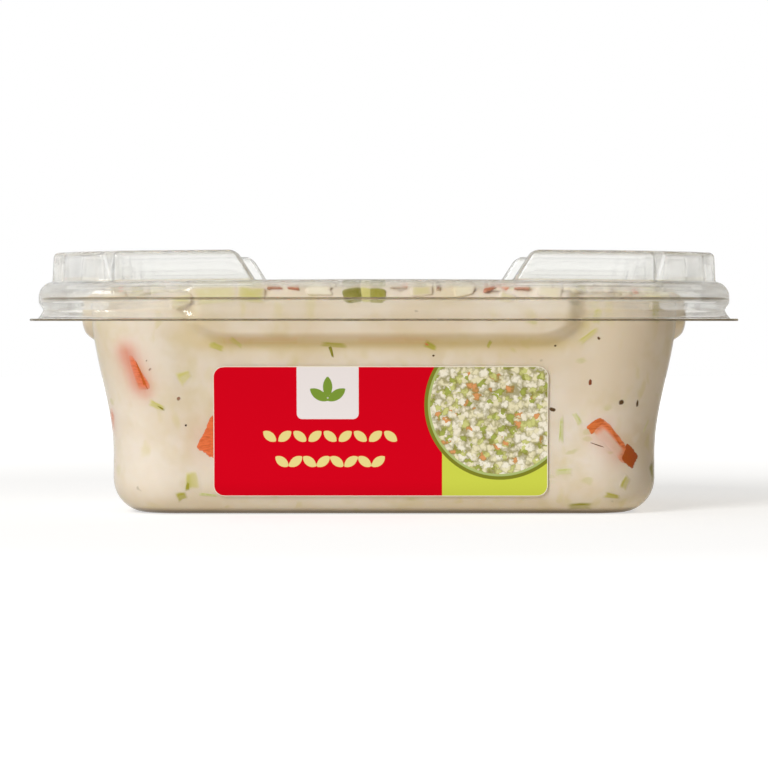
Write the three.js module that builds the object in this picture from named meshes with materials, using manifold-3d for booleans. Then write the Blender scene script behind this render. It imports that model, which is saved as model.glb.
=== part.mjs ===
// A retail tub of coleslaw: a clear thermoformed tub, its clear press-fit lid with four stacking
// lugs, the coleslaw that fills it, and the printed label on the front wall.
// Millimetres, +Z up. The origin is the centre of the base, and the label faces -Y.
import * as THREE from "three";
import { LoftGeometry } from "three/addons/geometries/LoftGeometry.js";
import { mergeVertices } from "three/addons/utils/BufferGeometryUtils.js";
import Module from "manifold-3d";

const wasm = await Module();
wasm.setup();

// Driving dimensions
const packLength = 152; // along X, over the lid's flange
const packWidth = 108; // along Y
const flangeRadius = 21; // plan radius of the lid's corners
const wall = 0.5; // sheet thickness of tub and lid
const gap = 0.3; // clearance between separate pieces

// Tub
const tubRimHeight = 46; // underside of the tub's flange
const tubRimInset = 12.4; // wall's top, in from the lid's flange
const tubTaper = 4.7; // how much further in the foot of the wall is
const tubTaperDepth = 34; // height over which the wall eases inwards
const tubTopRadius = 17; // plan radius of the wall's corners at the rim
const tubFootRadius = 14.5;
const baseRound = 7.4; // radius between the wall and the base
const baseRecess = 0.8; // how far the middle of the base is raised
const baseFootWidth = 5; // width of the ring that the tub stands on
const baseFootRadius = 3.5; // plan radius of that ring's inner corners
const wallHeights = [13, 19, 25, 31]; // rings of the curved wall, below the shelf
const rimFillet = 1.8; // between the wall and the flange
const tubFlangeInset = 2.75;

// Shelf pressed out of the top of each wall
const shelfDepth = 2.9;
const shelfFoot = 36.3; // height of its lower edge
const shelfTopHalf = { long: 43.3, short: 21.3 }; // half lengths at shelfSlantFrom
const shelfSlantFrom = 41.3;
const shelfSlant = 1.25; // how fast its ends close in, going down

// Lid
const lidFlangeHeight = 41.5;
const lidLedgeHeight = 49.85; // top of the panel at its edge
const lidSkirtInset = 1.95;
const lidUndercut = 1.05; // groove under the bead, at the corners only
const lidGrooveHeight = 43.9;
const lidBead = { foot: 45.1, top: 47.3, draft: 0.05 }; // upright side of the bead
const lidShoulder = { height: 48.9, inset: 3.1 };
const lidPanelInset = 5.1;
const lidPlainHalf = { long: 42, short: 20 }; // half lengths of the stretches with no groove
const lidPlainRamp = 2.5;
const lidBow = 0.75; // the filled pack pushes the panel up this much in the middle
const lidBowReach = { long: 62, short: 58 };
const lidBowFrom = 47; // the skirt keeps its shape below this height
const panelShares = [0.7, 0.4, 0.15]; // rings of the panel, as shares of its size

// Stacking lugs, one L in each corner
const lugTop = 56.2;
const lugFace = 4.9; // outer faces, in from the flange
const lugThickness = 11.8;
const lugCornerCut = 18.9; // where each arm ends, in from the flange
const lugStep = 2.3; // arms stand this proud of the piece between them
const lugLongEnd = 48.6; // end of the arm along X, in from the flange
const lugShortEnd = 43; // end of the arm along Y
const lugEndSlope = 3.7; // how far the arms' ends lean in, from foot to top
const lugDraft = 0.35;
const lugEdge = 1.2; // rounding of the top edges
const lugRoot = 0.3; // how far its sides run down into the panel

// Coleslaw
const slawCorner = 2.8; // how much lower it lies in the corners
const slawCornerFrom = { x: 36, y: 12 }; // it starts to fall here, towards a corner
const slawCornerTo = { x: 60, y: 38 };
const slawCrumple = 0.35; // waviness of the bare top
const slawWave = { x: 20, y: 17, sway: 37 }; // wavelengths of that waviness
const slawBelowLid = 1.7; // bare top, below the panel
const slawShares = [0.985, 0.93, 0.8, 0.64, 0.48, 0.32, 0.16]; // rings of the bare top
const pieceSpacing = 7.4;
const pieceJitter = 0.25; // most shift of a piece from its place, in spacings
const pieceProud = 0.3; // how far a piece's foot may stand above the bare top
const pieceLidGap = 0.4; // least clearance between a piece and the panel
const pieceTopShare = 0.82; // size of a piece's upper face beside its lower one
const pieceNarrowing = [0.55, 0.95]; // width of a piece's narrow end beside its wide one
const pieceTilt = 0.14; // most tilt of a chopped piece, in radians
const pieceSeed = 20261;

// Label
const labelSize = { width: 71.4, height: 27.8 };
const labelMiddle = { x: -0.7, z: 18 };
const labelCorner = 2.3;
const labelThickness = 0.3;
const labelSteps = 14; // strips that follow the wall's curve
const labelMargin = 2; // how much larger the bent band is before it is cut to its outline

const halfLength = packLength / 2;
const halfWidth = packWidth / 2;
const cornerSteps = 5;
const roundSteps = 4;
const lugArcSteps = 4;

const tubColour = new THREE.MeshStandardMaterial({
  color: 0xe9ecea,
  roughness: 0.12,
  metalness: 0,
  transparent: true,
  opacity: 0.3,
});
const lidColour = new THREE.MeshStandardMaterial({
  color: 0xf2f4f3,
  roughness: 0.1,
  metalness: 0,
  transparent: true,
  opacity: 0.3,
});
const slawColour = new THREE.MeshStandardMaterial({ color: 0xe4d6bc, roughness: 0.45, metalness: 0 });
const labelColour = new THREE.MeshStandardMaterial({ color: 0xd1041f, roughness: 0.35, metalness: 0 });

// Joining and cutting

// The same surface with shared corners merged, and without triangles that have closed up.
function weld(geometry) {
  const bare = new THREE.BufferGeometry();
  bare.setAttribute("position", geometry.getAttribute("position"));
  bare.setIndex(geometry.getIndex());
  const merged = mergeVertices(bare, 1e-4);
  const index = merged.getIndex().array;
  const kept = [];
  for (let i = 0; i < index.length; i += 3) {
    const [a, b, c] = index.slice(i, i + 3);
    if (a !== b && b !== c && c !== a) kept.push(a, b, c);
  }
  merged.setIndex(kept);
  return merged;
}

// A closed geometry as a solid.
function solidOf(geometry) {
  const welded = weld(geometry);
  return new wasm.Manifold(
    new wasm.Mesh({
      numProp: 3,
      vertProperties: new Float32Array(welded.attributes.position.array),
      triVerts: new Uint32Array(welded.index.array),
    }),
  );
}

// A loft whose two ends close to a point in their middles, so that every station of a ring is kept.
function closedLoft(sections) {
  const middle = (section) => {
    const sum = section.reduce((total, p) => total.add(p), new THREE.Vector3());
    sum.divideScalar(section.length);
    return section.map(() => sum.clone());
  };
  return weld(new LoftGeometry([middle(sections[0]), ...sections, middle(sections[sections.length - 1])]));
}

// A solid as a geometry.
function geometryOf(solid) {
  const mesh = solid.getMesh();
  const geometry = new THREE.BufferGeometry();
  geometry.setAttribute("position", new THREE.BufferAttribute(new Float32Array(mesh.vertProperties), 3));
  geometry.setIndex(new THREE.BufferAttribute(new Uint32Array(mesh.triVerts), 1));
  geometry.computeVertexNormals();
  return geometry;
}

function pieceOf(name, geometry, material) {
  const mesh = new THREE.Mesh(geometry, material);
  mesh.name = name;
  return mesh;
}

// Plan outlines

// One side's four stations, from its left end to its right: the outer two lie on the side and the
// inner two are pushed out by push.
function sideStations(outer, inner, push) {
  return [
    [-outer, 0],
    [-inner, push],
    [inner, push],
    [outer, 0],
  ];
}

// A rounded rectangle at one height, counterclockwise from above. long and short give the stations
// of the sides along X and along Y, as { outer, inner, push }.
function ring({ inset, radius, z, long, short }) {
  const x = halfLength - inset;
  const y = halfWidth - inset;
  const sides = [
    { reach: y, ...long },
    { reach: x, ...short },
    { reach: y, ...long },
    { reach: x, ...short },
  ];
  const corners = [
    [x - radius, radius - y],
    [x - radius, y - radius],
    [radius - x, y - radius],
    [radius - x, radius - y],
  ];
  const points = [];
  sides.forEach(({ reach, outer, inner, push }, k) => {
    const turn = (k * Math.PI) / 2;
    for (const [along, out] of sideStations(outer, inner, push)) {
      const flat = new THREE.Vector2(along, -reach - out).rotateAround(new THREE.Vector2(), turn);
      points.push(new THREE.Vector3(flat.x, flat.y, z));
    }
    for (let i = 0; i <= cornerSteps; i++) {
      const angle = turn - Math.PI / 2 + ((Math.PI / 2) * i) / cornerSteps;
      points.push(
        new THREE.Vector3(
          corners[k][0] + radius * Math.cos(angle),
          corners[k][1] + radius * Math.sin(angle),
          z,
        ),
      );
    }
  });
  return points;
}

// Tub

// How far in the wall is at a height: it eases in by tubTaper, like half a cosine wave.
function wallInset(z) {
  const t = THREE.MathUtils.clamp((tubRimHeight - z) / tubTaperDepth, 0, 1);
  return tubRimInset + (tubTaper * (1 - Math.cos(Math.PI * t))) / 2;
}

function wallRadius(z) {
  return THREE.MathUtils.lerp(tubFootRadius, tubTopRadius, THREE.MathUtils.clamp(z / tubRimHeight, 0, 1));
}

// The shelf at a height: its push, the half length of its face and that of its foot on the wall.
// An offset moves its ends in and its foot up, for the inner face and for what fills it.
function shelfAt(z, half, offset = 0) {
  const push = THREE.MathUtils.clamp(z - shelfFoot - offset, 0, shelfDepth);
  const below = THREE.MathUtils.clamp(shelfSlantFrom - z, 0, shelfSlantFrom - shelfFoot);
  const outer = half - offset - shelfSlant * below;
  return { outer, inner: outer - push, push };
}

// The wall's ring at a height, moved in by an offset. The flatter low part follows baseRound.
function wallRing(z, offset, extraInset = 0) {
  const inset = wallInset(z) + extraInset + offset;
  return ring({
    inset,
    radius: Math.max(wallRadius(z) - extraInset - offset, baseFootRadius),
    z,
    long: shelfAt(z, shelfTopHalf.long, offset),
    short: shelfAt(z, shelfTopHalf.short, offset),
  });
}

// The tub's side from the edge of the base up to the rim, as rings. offset moves them in and lift
// moves the base up, for the inner face and for what fills the tub.
function sideRings(offset, lift, topHeight) {
  const rings = [];
  const round = baseRound - lift;
  for (let i = 0; i <= roundSteps; i++) {
    const angle = ((Math.PI / 2) * i) / roundSteps;
    const z = lift + round * (1 - Math.cos(angle));
    rings.push(wallRing(z, offset, round * (1 - Math.sin(angle))));
  }
  const foot = shelfFoot + offset;
  const heights = [...wallHeights, foot, foot + shelfDepth, shelfSlantFrom, topHeight];
  return rings.concat(heights.map((z) => wallRing(z, offset)));
}

// The raised middle of the base, from its middle out.
function baseRings(lift) {
  const edge = wallInset(0) + baseRound + baseFootWidth;
  const shape = { long: shelfAt(0, shelfTopHalf.long), short: shelfAt(0, shelfTopHalf.short) };
  const narrow = ({ outer }) => {
    const half = outer - baseFootWidth;
    return { outer: half, inner: half, push: 0 };
  };
  const sides = { long: narrow(shape.long), short: narrow(shape.short) };
  const raised = { inset: edge + baseRecess, radius: baseFootRadius - baseRecess / 2, z: baseRecess + lift };
  return [
    ring({ ...raised, ...sides }),
    ring({ inset: edge, radius: baseFootRadius, z: lift, ...sides }),
  ];
}

// The flange's rings: the fillet out of the wall, then out to the edge.
function flangeRings(offset) {
  const z = tubRimHeight + offset;
  const top = tubRimHeight - rimFillet;
  const radius = tubTopRadius;
  const half = shelfAt(tubRimHeight, shelfTopHalf.long, offset);
  const halfShort = shelfAt(tubRimHeight, shelfTopHalf.short, offset);
  const at = (height, out, push) =>
    ring({
      inset: tubRimInset + offset - out,
      radius: radius + out - offset,
      z: height,
      long: { ...half, push },
      short: { ...halfShort, push },
    });
  const reach = rimFillet - offset;
  const middle = Math.SQRT1_2;
  return [
    at(top + reach * middle + offset, reach * (1 - middle), shelfDepth),
    at(z, reach, shelfDepth),
  ];
}

function flangeEdge(z) {
  return ring({
    inset: tubFlangeInset,
    radius: flangeRadius - tubFlangeInset,
    z,
    long: { ...shelfAt(tubRimHeight, shelfTopHalf.long), push: 0 },
    short: { ...shelfAt(tubRimHeight, shelfTopHalf.short), push: 0 },
  });
}

function makeTub() {
  const rimFoot = tubRimHeight - rimFillet;
  const outside = [...baseRings(0), ...sideRings(0, 0, rimFoot), ...flangeRings(0), flangeEdge(tubRimHeight)];
  const inside = [...baseRings(wall), ...sideRings(wall, wall, rimFoot), ...flangeRings(wall)];
  const sections = [...outside, flangeEdge(tubRimHeight + wall), ...inside.reverse()];
  return closedLoft(sections);
}

// Lid

// How far the filled pack pushes the lid up at a point.
function bow(x, y) {
  const along = Math.max(0, 1 - (x / lidBowReach.long) ** 2);
  const across = Math.max(0, 1 - (y / lidBowReach.short) ** 2);
  return lidBow * along * Math.sqrt(across);
}

// One ring of the lid. inset is that of the corners, and plain that of the stretches between them.
function lidRing(z, inset, plain = inset) {
  const push = inset - plain;
  const side = (half) => ({ outer: half, inner: half - lidPlainRamp, push });
  return ring({
    inset,
    radius: flangeRadius - inset,
    z,
    long: side(lidPlainHalf.long),
    short: side(lidPlainHalf.short),
  });
}

// The panel's ring, scaled towards the middle.
function panelRing(z, share) {
  return lidRing(z, lidPanelInset).map((p) => new THREE.Vector3(p.x * share, p.y * share, p.z));
}

// The lid's side from its groove up to the panel, moved into the sheet by depth. Its corners turn
// by 45 degrees, so a corner's offset also slides along its faces.
function lidSide(depth) {
  const groove = lidSkirtInset + lidUndercut + depth;
  const skirt = lidSkirtInset + depth;
  const slide = Math.tan(Math.PI / 8) * depth;
  const slanted = Math.SQRT1_2 * depth;
  return [
    lidRing(lidGrooveHeight, groove, skirt),
    lidRing(lidBead.foot, skirt),
    lidRing(lidBead.top - slide, skirt + lidBead.draft),
    lidRing(lidShoulder.height - slanted, lidShoulder.inset + slanted),
    lidRing(lidLedgeHeight - depth, lidPanelInset + slide),
    ...panelShares.map((share) => panelRing(lidLedgeHeight - depth, share)),
  ];
}

function makeLidShell() {
  const inside = [lidRing(lidFlangeHeight, lidSkirtInset + wall), ...lidSide(wall)];
  const flange = [
    lidRing(lidFlangeHeight, 0),
    lidRing(lidFlangeHeight + wall, 0),
    lidRing(lidFlangeHeight + wall, lidSkirtInset),
  ];
  return closedLoft([...inside.reverse(), ...flange, ...lidSide(0)]);
}

// The L of one lug, counterclockwise, in the corner where x and y are positive. shrink moves every
// face in, and lean moves the arms' free ends in.
function lugOutline(z, shrink, lean) {
  const faceX = halfLength - lugFace - shrink;
  const faceY = halfWidth - lugFace - shrink;
  const innerX = halfLength - lugFace - lugThickness + shrink;
  const innerY = halfWidth - lugFace - lugThickness + shrink;
  const cutX = halfLength - lugCornerCut - shrink;
  const cutY = halfWidth - lugCornerCut - shrink;
  const endX = halfLength - lugLongEnd + shrink + lean;
  const endY = halfWidth - lugShortEnd + shrink + lean;
  const outline = [
    [endX, innerY],
    [innerX, innerY],
    [innerX, endY],
    [faceX, endY],
    [faceX, cutY],
  ];
  const radius = lugCornerCut - lugFace - lugStep;
  for (let i = 0; i <= lugArcSteps; i++) {
    const angle = ((Math.PI / 2) * i) / lugArcSteps;
    outline.push([cutX + radius * Math.cos(angle), cutY + radius * Math.sin(angle)]);
  }
  outline.push([cutX, faceY], [endX, faceY]);
  return outline.map(([x, y]) => new THREE.Vector3(x, y, z));
}

// A lug as a closed geometry. depth is 0 for its outside and the wall's thickness for its inside.
function lugGeometry(depth) {
  const foot = lidLedgeHeight - lugRoot - 2 * depth;
  const top = lugTop - depth;
  const rise = top - lidLedgeHeight;
  const lean = (z) => (lugEndSlope * (z - lidLedgeHeight)) / rise;
  const draft = (z) => depth + (lugDraft * Math.max(0, z - lidLedgeHeight)) / rise;
  const edge = lugEdge - depth;
  const soft = edge * (1 - Math.SQRT1_2);
  const sections = [
    lugOutline(foot, draft(foot), lean(foot)),
    lugOutline(top - edge, draft(top - edge), lean(top - edge)),
    lugOutline(top - soft, draft(top) + soft, lean(top)),
    lugOutline(top, draft(top) + edge, lean(top)),
  ];
  return weld(new LoftGeometry(sections, { capStart: true, capEnd: true }));
}

// A geometry in all four corners, as solids. Where one axis is turned round, so is each triangle.
function inCorners(geometry) {
  const signs = [
    [1, 1],
    [-1, 1],
    [-1, -1],
    [1, -1],
  ];
  return signs.map(([signX, signY]) => {
    const copy = geometry.clone().scale(signX, signY, 1);
    if (signX * signY < 0) copy.setIndex(Array.from(copy.getIndex().array).reverse());
    return solidOf(copy);
  });
}

function makeLid() {
  let lid = solidOf(makeLidShell());
  for (const lug of inCorners(lugGeometry(0))) lid = lid.add(lug);
  for (const hollow of inCorners(lugGeometry(wall))) lid = lid.subtract(hollow);
  const geometry = geometryOf(lid);
  const position = geometry.attributes.position;
  for (let i = 0; i < position.count; i++) {
    const x = position.getX(i);
    const y = position.getY(i);
    const z = position.getZ(i);
    const share = THREE.MathUtils.smoothstep(z, lidBowFrom, lidLedgeHeight - wall);
    position.setZ(i, z + share * bow(x, y));
  }
  return geometry;
}

// Coleslaw

// A repeatable stream of random numbers from 0 to 1.
function randomStream(seed) {
  let state = seed >>> 0;
  return () => {
    state = (Math.imul(state, 1664525) + 1013904223) >>> 0;
    return state / 4294967296;
  };
}

// The lid's underside above a point.
function ceiling(x, y) {
  return lidLedgeHeight - wall + bow(x, y);
}

// The bare top: a little below the lid, lower in the corners, and wavy.
function slawTop(x, y) {
  const nearEndX = THREE.MathUtils.smoothstep(Math.abs(x), slawCornerFrom.x, slawCornerTo.x);
  const nearEndY = THREE.MathUtils.smoothstep(Math.abs(y), slawCornerFrom.y, slawCornerTo.y);
  const turn = 2 * Math.PI;
  const sway = Math.sin((turn * y) / slawWave.sway);
  const waves = Math.sin((turn * x) / slawWave.x + sway) * Math.cos((turn * y) / slawWave.y);
  return ceiling(x, y) - slawBelowLid - slawCorner * nearEndX * nearEndY + slawCrumple * waves;
}

function slawCore() {
  const offset = wall + gap;
  const rimFoot = tubRimHeight - rimFillet;
  const sides = sideRings(offset, offset + baseRecess, rimFoot);
  const last = sides[sides.length - 1];
  const top = slawShares.map((share) =>
    last.map((p) => new THREE.Vector3(p.x * share, p.y * share, slawTop(p.x * share, p.y * share))),
  );
  return solidOf(closedLoft([...sides, ...top]));
}

// The kinds of chopped vegetable, with their sizes and how many of each ten pieces they are.
const kinds = [
  { length: [6, 9.5], width: [3.6, 5.6], thickness: 1.5, share: 5 },
  { length: [9, 14], width: [1.8, 2.6], thickness: 1.5, share: 3 },
  { length: [5, 9], width: [1.4, 2], thickness: 1.3, share: 1 },
  { length: [3.6, 5], width: [3, 4], thickness: 1.6, share: 1 },
];

// A flat chopped piece: a box whose far end is narrower and whose top is smaller than its foot.
function choppedPiece(length, width, thickness, narrowing) {
  const box = new THREE.BoxGeometry(length, width, thickness);
  const position = box.attributes.position;
  for (let i = 0; i < position.count; i++) {
    const end = position.getX(i) > 0 ? narrowing : 1;
    const top = position.getZ(i) > 0 ? pieceTopShare : 1;
    position.setXY(i, position.getX(i) * top, position.getY(i) * end * top);
  }
  return box;
}

// True where a point lies over the tub's mouth, clear of its wall by a margin.
function overMouth(x, y, margin) {
  const inset = tubRimInset + wall + gap + margin;
  const dx = Math.abs(x) - (halfLength - inset - tubTopRadius);
  const dy = Math.abs(y) - (halfWidth - inset - tubTopRadius);
  return Math.hypot(Math.max(dx, 0), Math.max(dy, 0)) < tubTopRadius;
}

function choppedPieces() {
  const random = randomStream(pieceSeed);
  const between = ([low, high]) => low + (high - low) * random();
  const deck = kinds.flatMap((kind) => Array(kind.share).fill(kind));
  const pieces = [];
  const rows = Math.floor(halfWidth / pieceSpacing);
  const columns = Math.floor(halfLength / pieceSpacing);
  for (let gridY = -rows; gridY <= rows; gridY++) {
    for (let gridX = -columns; gridX <= columns; gridX++) {
      const kind = deck[Math.floor(random() * deck.length)];
      const length = between(kind.length);
      const width = between(kind.width);
      const x = (gridX + (gridY % 2) / 2 + between([-pieceJitter, pieceJitter])) * pieceSpacing;
      const y = (gridY + between([-pieceJitter, pieceJitter])) * pieceSpacing;
      const yaw = random() * Math.PI;
      const pitch = between([-pieceTilt, pieceTilt]);
      const narrowing = between(pieceNarrowing);
      if (!overMouth(x, y, length / 2 + 1)) continue;
      const rise = (length / 2) * Math.abs(Math.sin(pitch)) + kind.thickness / 2;
      const proud = slawTop(x, y) + kind.thickness + pieceProud;
      const highest = Math.min(ceiling(x, y) - pieceLidGap, proud);
      const geometry = choppedPiece(length, width, kind.thickness, narrowing);
      geometry.rotateY(pitch);
      geometry.rotateZ(yaw);
      geometry.translate(x, y, highest - rise);
      pieces.push(solidOf(geometry));
    }
  }
  return pieces;
}

// The core with the pieces that reach it. Pieces that touch nothing are dropped.
function makeColeslaw() {
  const whole = choppedPieces().reduce((joined, piece) => joined.add(piece), slawCore());
  const bodies = whole.decompose();
  bodies.sort((a, b) => b.volume() - a.volume());
  return geometryOf(bodies[0]);
}

// Label

// The side view of the front wall's outer face, from low to high, moved out by an offset.
function frontProfile(offset) {
  const points = [];
  const low = labelMiddle.z - labelSize.height / 2 - labelMargin;
  const high = labelMiddle.z + labelSize.height / 2 + labelMargin;
  for (let i = 0; i <= labelSteps; i++) {
    const z = THREE.MathUtils.lerp(low, high, i / labelSteps);
    const below = Math.max(0, baseRound - z);
    const curl = baseRound - Math.sqrt(baseRound ** 2 - below ** 2);
    points.push(new THREE.Vector2(z, halfWidth - wallInset(z) - curl + offset));
  }
  return points;
}

// A band bent to the wall, cut to a rectangle with round corners.
function makeLabel() {
  const inner = frontProfile(gap);
  const outer = frontProfile(gap + labelThickness).reverse();
  const bandLength = labelSize.width + 2 * labelMargin;
  const band = new THREE.ExtrudeGeometry(new THREE.Shape([...inner, ...outer]), {
    depth: bandLength,
    bevelEnabled: false,
    steps: 1,
  });
  // The profile's x is height and its y is distance towards the front. Extrusion runs along X.
  const place = new THREE.Matrix4().makeBasis(
    new THREE.Vector3(0, 0, 1),
    new THREE.Vector3(0, -1, 0),
    new THREE.Vector3(1, 0, 0),
  );
  band.applyMatrix4(place);
  band.translate(labelMiddle.x - bandLength / 2, 0, 0);

  const { width, height } = labelSize;
  const r = labelCorner;
  const outline = new THREE.Shape();
  outline.moveTo(-width / 2 + r, -height / 2);
  outline.lineTo(width / 2 - r, -height / 2);
  outline.absarc(width / 2 - r, -height / 2 + r, r, -Math.PI / 2, 0);
  outline.lineTo(width / 2, height / 2 - r);
  outline.absarc(width / 2 - r, height / 2 - r, r, 0, Math.PI / 2);
  outline.lineTo(-width / 2 + r, height / 2);
  outline.absarc(-width / 2 + r, height / 2 - r, r, Math.PI / 2, Math.PI);
  outline.lineTo(-width / 2, -height / 2 + r);
  outline.absarc(-width / 2 + r, -height / 2 + r, r, Math.PI, 1.5 * Math.PI);
  const cutter = new THREE.ExtrudeGeometry(outline, {
    depth: halfWidth,
    bevelEnabled: false,
    curveSegments: cornerSteps,
  });
  cutter.rotateX(Math.PI / 2);
  cutter.translate(labelMiddle.x, 0, labelMiddle.z);
  return geometryOf(solidOf(band).intersect(solidOf(cutter)));
}

const coleslaw = new THREE.Group();
coleslaw.add(
  pieceOf("tub", makeTub(), tubColour),
  pieceOf("lid", makeLid(), lidColour),
  pieceOf("coleslaw", makeColeslaw(), slawColour),
  pieceOf("label", makeLabel(), labelColour),
);

export default coleslaw;
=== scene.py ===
"""A shut clear tub of coleslaw with its press-fit lid and front label, dressed round its CAD model.

Shapes are worked out in millimetres, in the CAD model's own frame, and put into meshes in metres. The
object stands on z = 0, its label faces -Y and X runs along its long side.
"""

import logging
import math
from collections.abc import Callable
from dataclasses import dataclass, field
from enum import Enum

import bmesh
import bpy
import numpy as np
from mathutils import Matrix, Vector
from mathutils.geometry import delaunay_2d_cdt

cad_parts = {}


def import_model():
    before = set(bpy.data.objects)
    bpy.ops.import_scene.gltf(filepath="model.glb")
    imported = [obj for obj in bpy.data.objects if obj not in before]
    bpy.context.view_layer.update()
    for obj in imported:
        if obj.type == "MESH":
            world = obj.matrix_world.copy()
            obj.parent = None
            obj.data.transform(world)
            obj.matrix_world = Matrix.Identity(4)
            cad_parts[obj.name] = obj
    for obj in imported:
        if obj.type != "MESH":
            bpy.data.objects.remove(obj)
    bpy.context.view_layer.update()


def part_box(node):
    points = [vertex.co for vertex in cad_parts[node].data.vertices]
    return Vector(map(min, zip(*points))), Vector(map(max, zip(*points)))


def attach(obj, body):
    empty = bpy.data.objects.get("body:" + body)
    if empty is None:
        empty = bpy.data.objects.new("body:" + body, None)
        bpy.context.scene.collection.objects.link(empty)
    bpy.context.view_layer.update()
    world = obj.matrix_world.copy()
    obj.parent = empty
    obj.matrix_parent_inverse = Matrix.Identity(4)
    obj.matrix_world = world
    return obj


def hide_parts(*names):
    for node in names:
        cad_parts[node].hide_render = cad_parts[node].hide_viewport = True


logger = logging.getLogger("coleslaw")

# Short names for types, and units

Array = np.ndarray
Pair = tuple[float, float]
Triple = tuple[float, float, float]
HeightAt = Callable[[Array, Array], Array]
Random = np.random.Generator
Stops = tuple[tuple[float, str], ...]
Material = bpy.types.Material
Node = bpy.types.Node
Object = bpy.types.Object
Socket = bpy.types.NodeSocket
MM = 0.001
TURN = 2 * math.pi
BODY = "root"


class Slot(Enum):
    """The record's material slots."""

    TUB = "tub_plastic"
    LID = "lid_plastic"
    COLESLAW = "coleslaw"
    LABEL = "label_print"


class Wall(Enum):
    """The tub's four walls, as quarter turns from the front."""

    FRONT = 0
    RIGHT = 1
    BACK = 2
    LEFT = 3


# Small calculations


def smoothstep(value: Array, low: float, high: float) -> Array:
    """Eases from 0 at low to 1 at high: 3t squared less 2t cubed."""
    t = np.clip((value - low) / (high - low), 0, 1)
    return t * t * (3 - 2 * t)


def smooth_least(a: Array, b: Array, blend: float) -> Array:
    """The lesser of two values, rounded over where they are within blend of each other."""
    near = np.clip(0.5 + 0.5 * (b - a) / blend, 0, 1)
    return b + (a - b) * near - blend * near * (1 - near)


def bell(value: Array, width: float) -> Array:
    """A bell curve: e to the power of minus the square of value over width."""
    return np.exp(-((value / width) ** 2))


def grid_normals(grid: Array, wrapped: bool = True) -> Array:
    """Unit normals of a grid of points: its step along a row crossed with its step between rows.

    Args:
        grid: Points, shaped (rows, stations, 3).
        wrapped: Whether a row's last point is beside its first.

    Returns:
        Normals of grid's shape.
    """
    if wrapped:
        across = np.roll(grid, -1, axis=1) - np.roll(grid, 1, axis=1)
    else:
        across = np.gradient(grid, axis=1)
    normals = np.cross(across, np.gradient(grid, axis=0))
    return normals / np.maximum(np.linalg.norm(normals, axis=-1, keepdims=True), 1e-12)


def linear_colour(value: str) -> tuple[float, ...]:
    """An sRGB hex colour as linear red, green, blue and a full alpha.

    Args:
        value: The colour, as "#rrggbb".

    Returns:
        Four numbers from 0 to 1.
    """
    srgb = np.array([int(value[i : i + 2], 16) for i in (1, 3, 5)]) / 255
    linear = np.where(srgb <= 0.04045, srgb / 12.92, ((srgb + 0.055) / 1.055) ** 2.4)
    return (*(float(part) for part in linear), 1.0)


# Meshes


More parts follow.
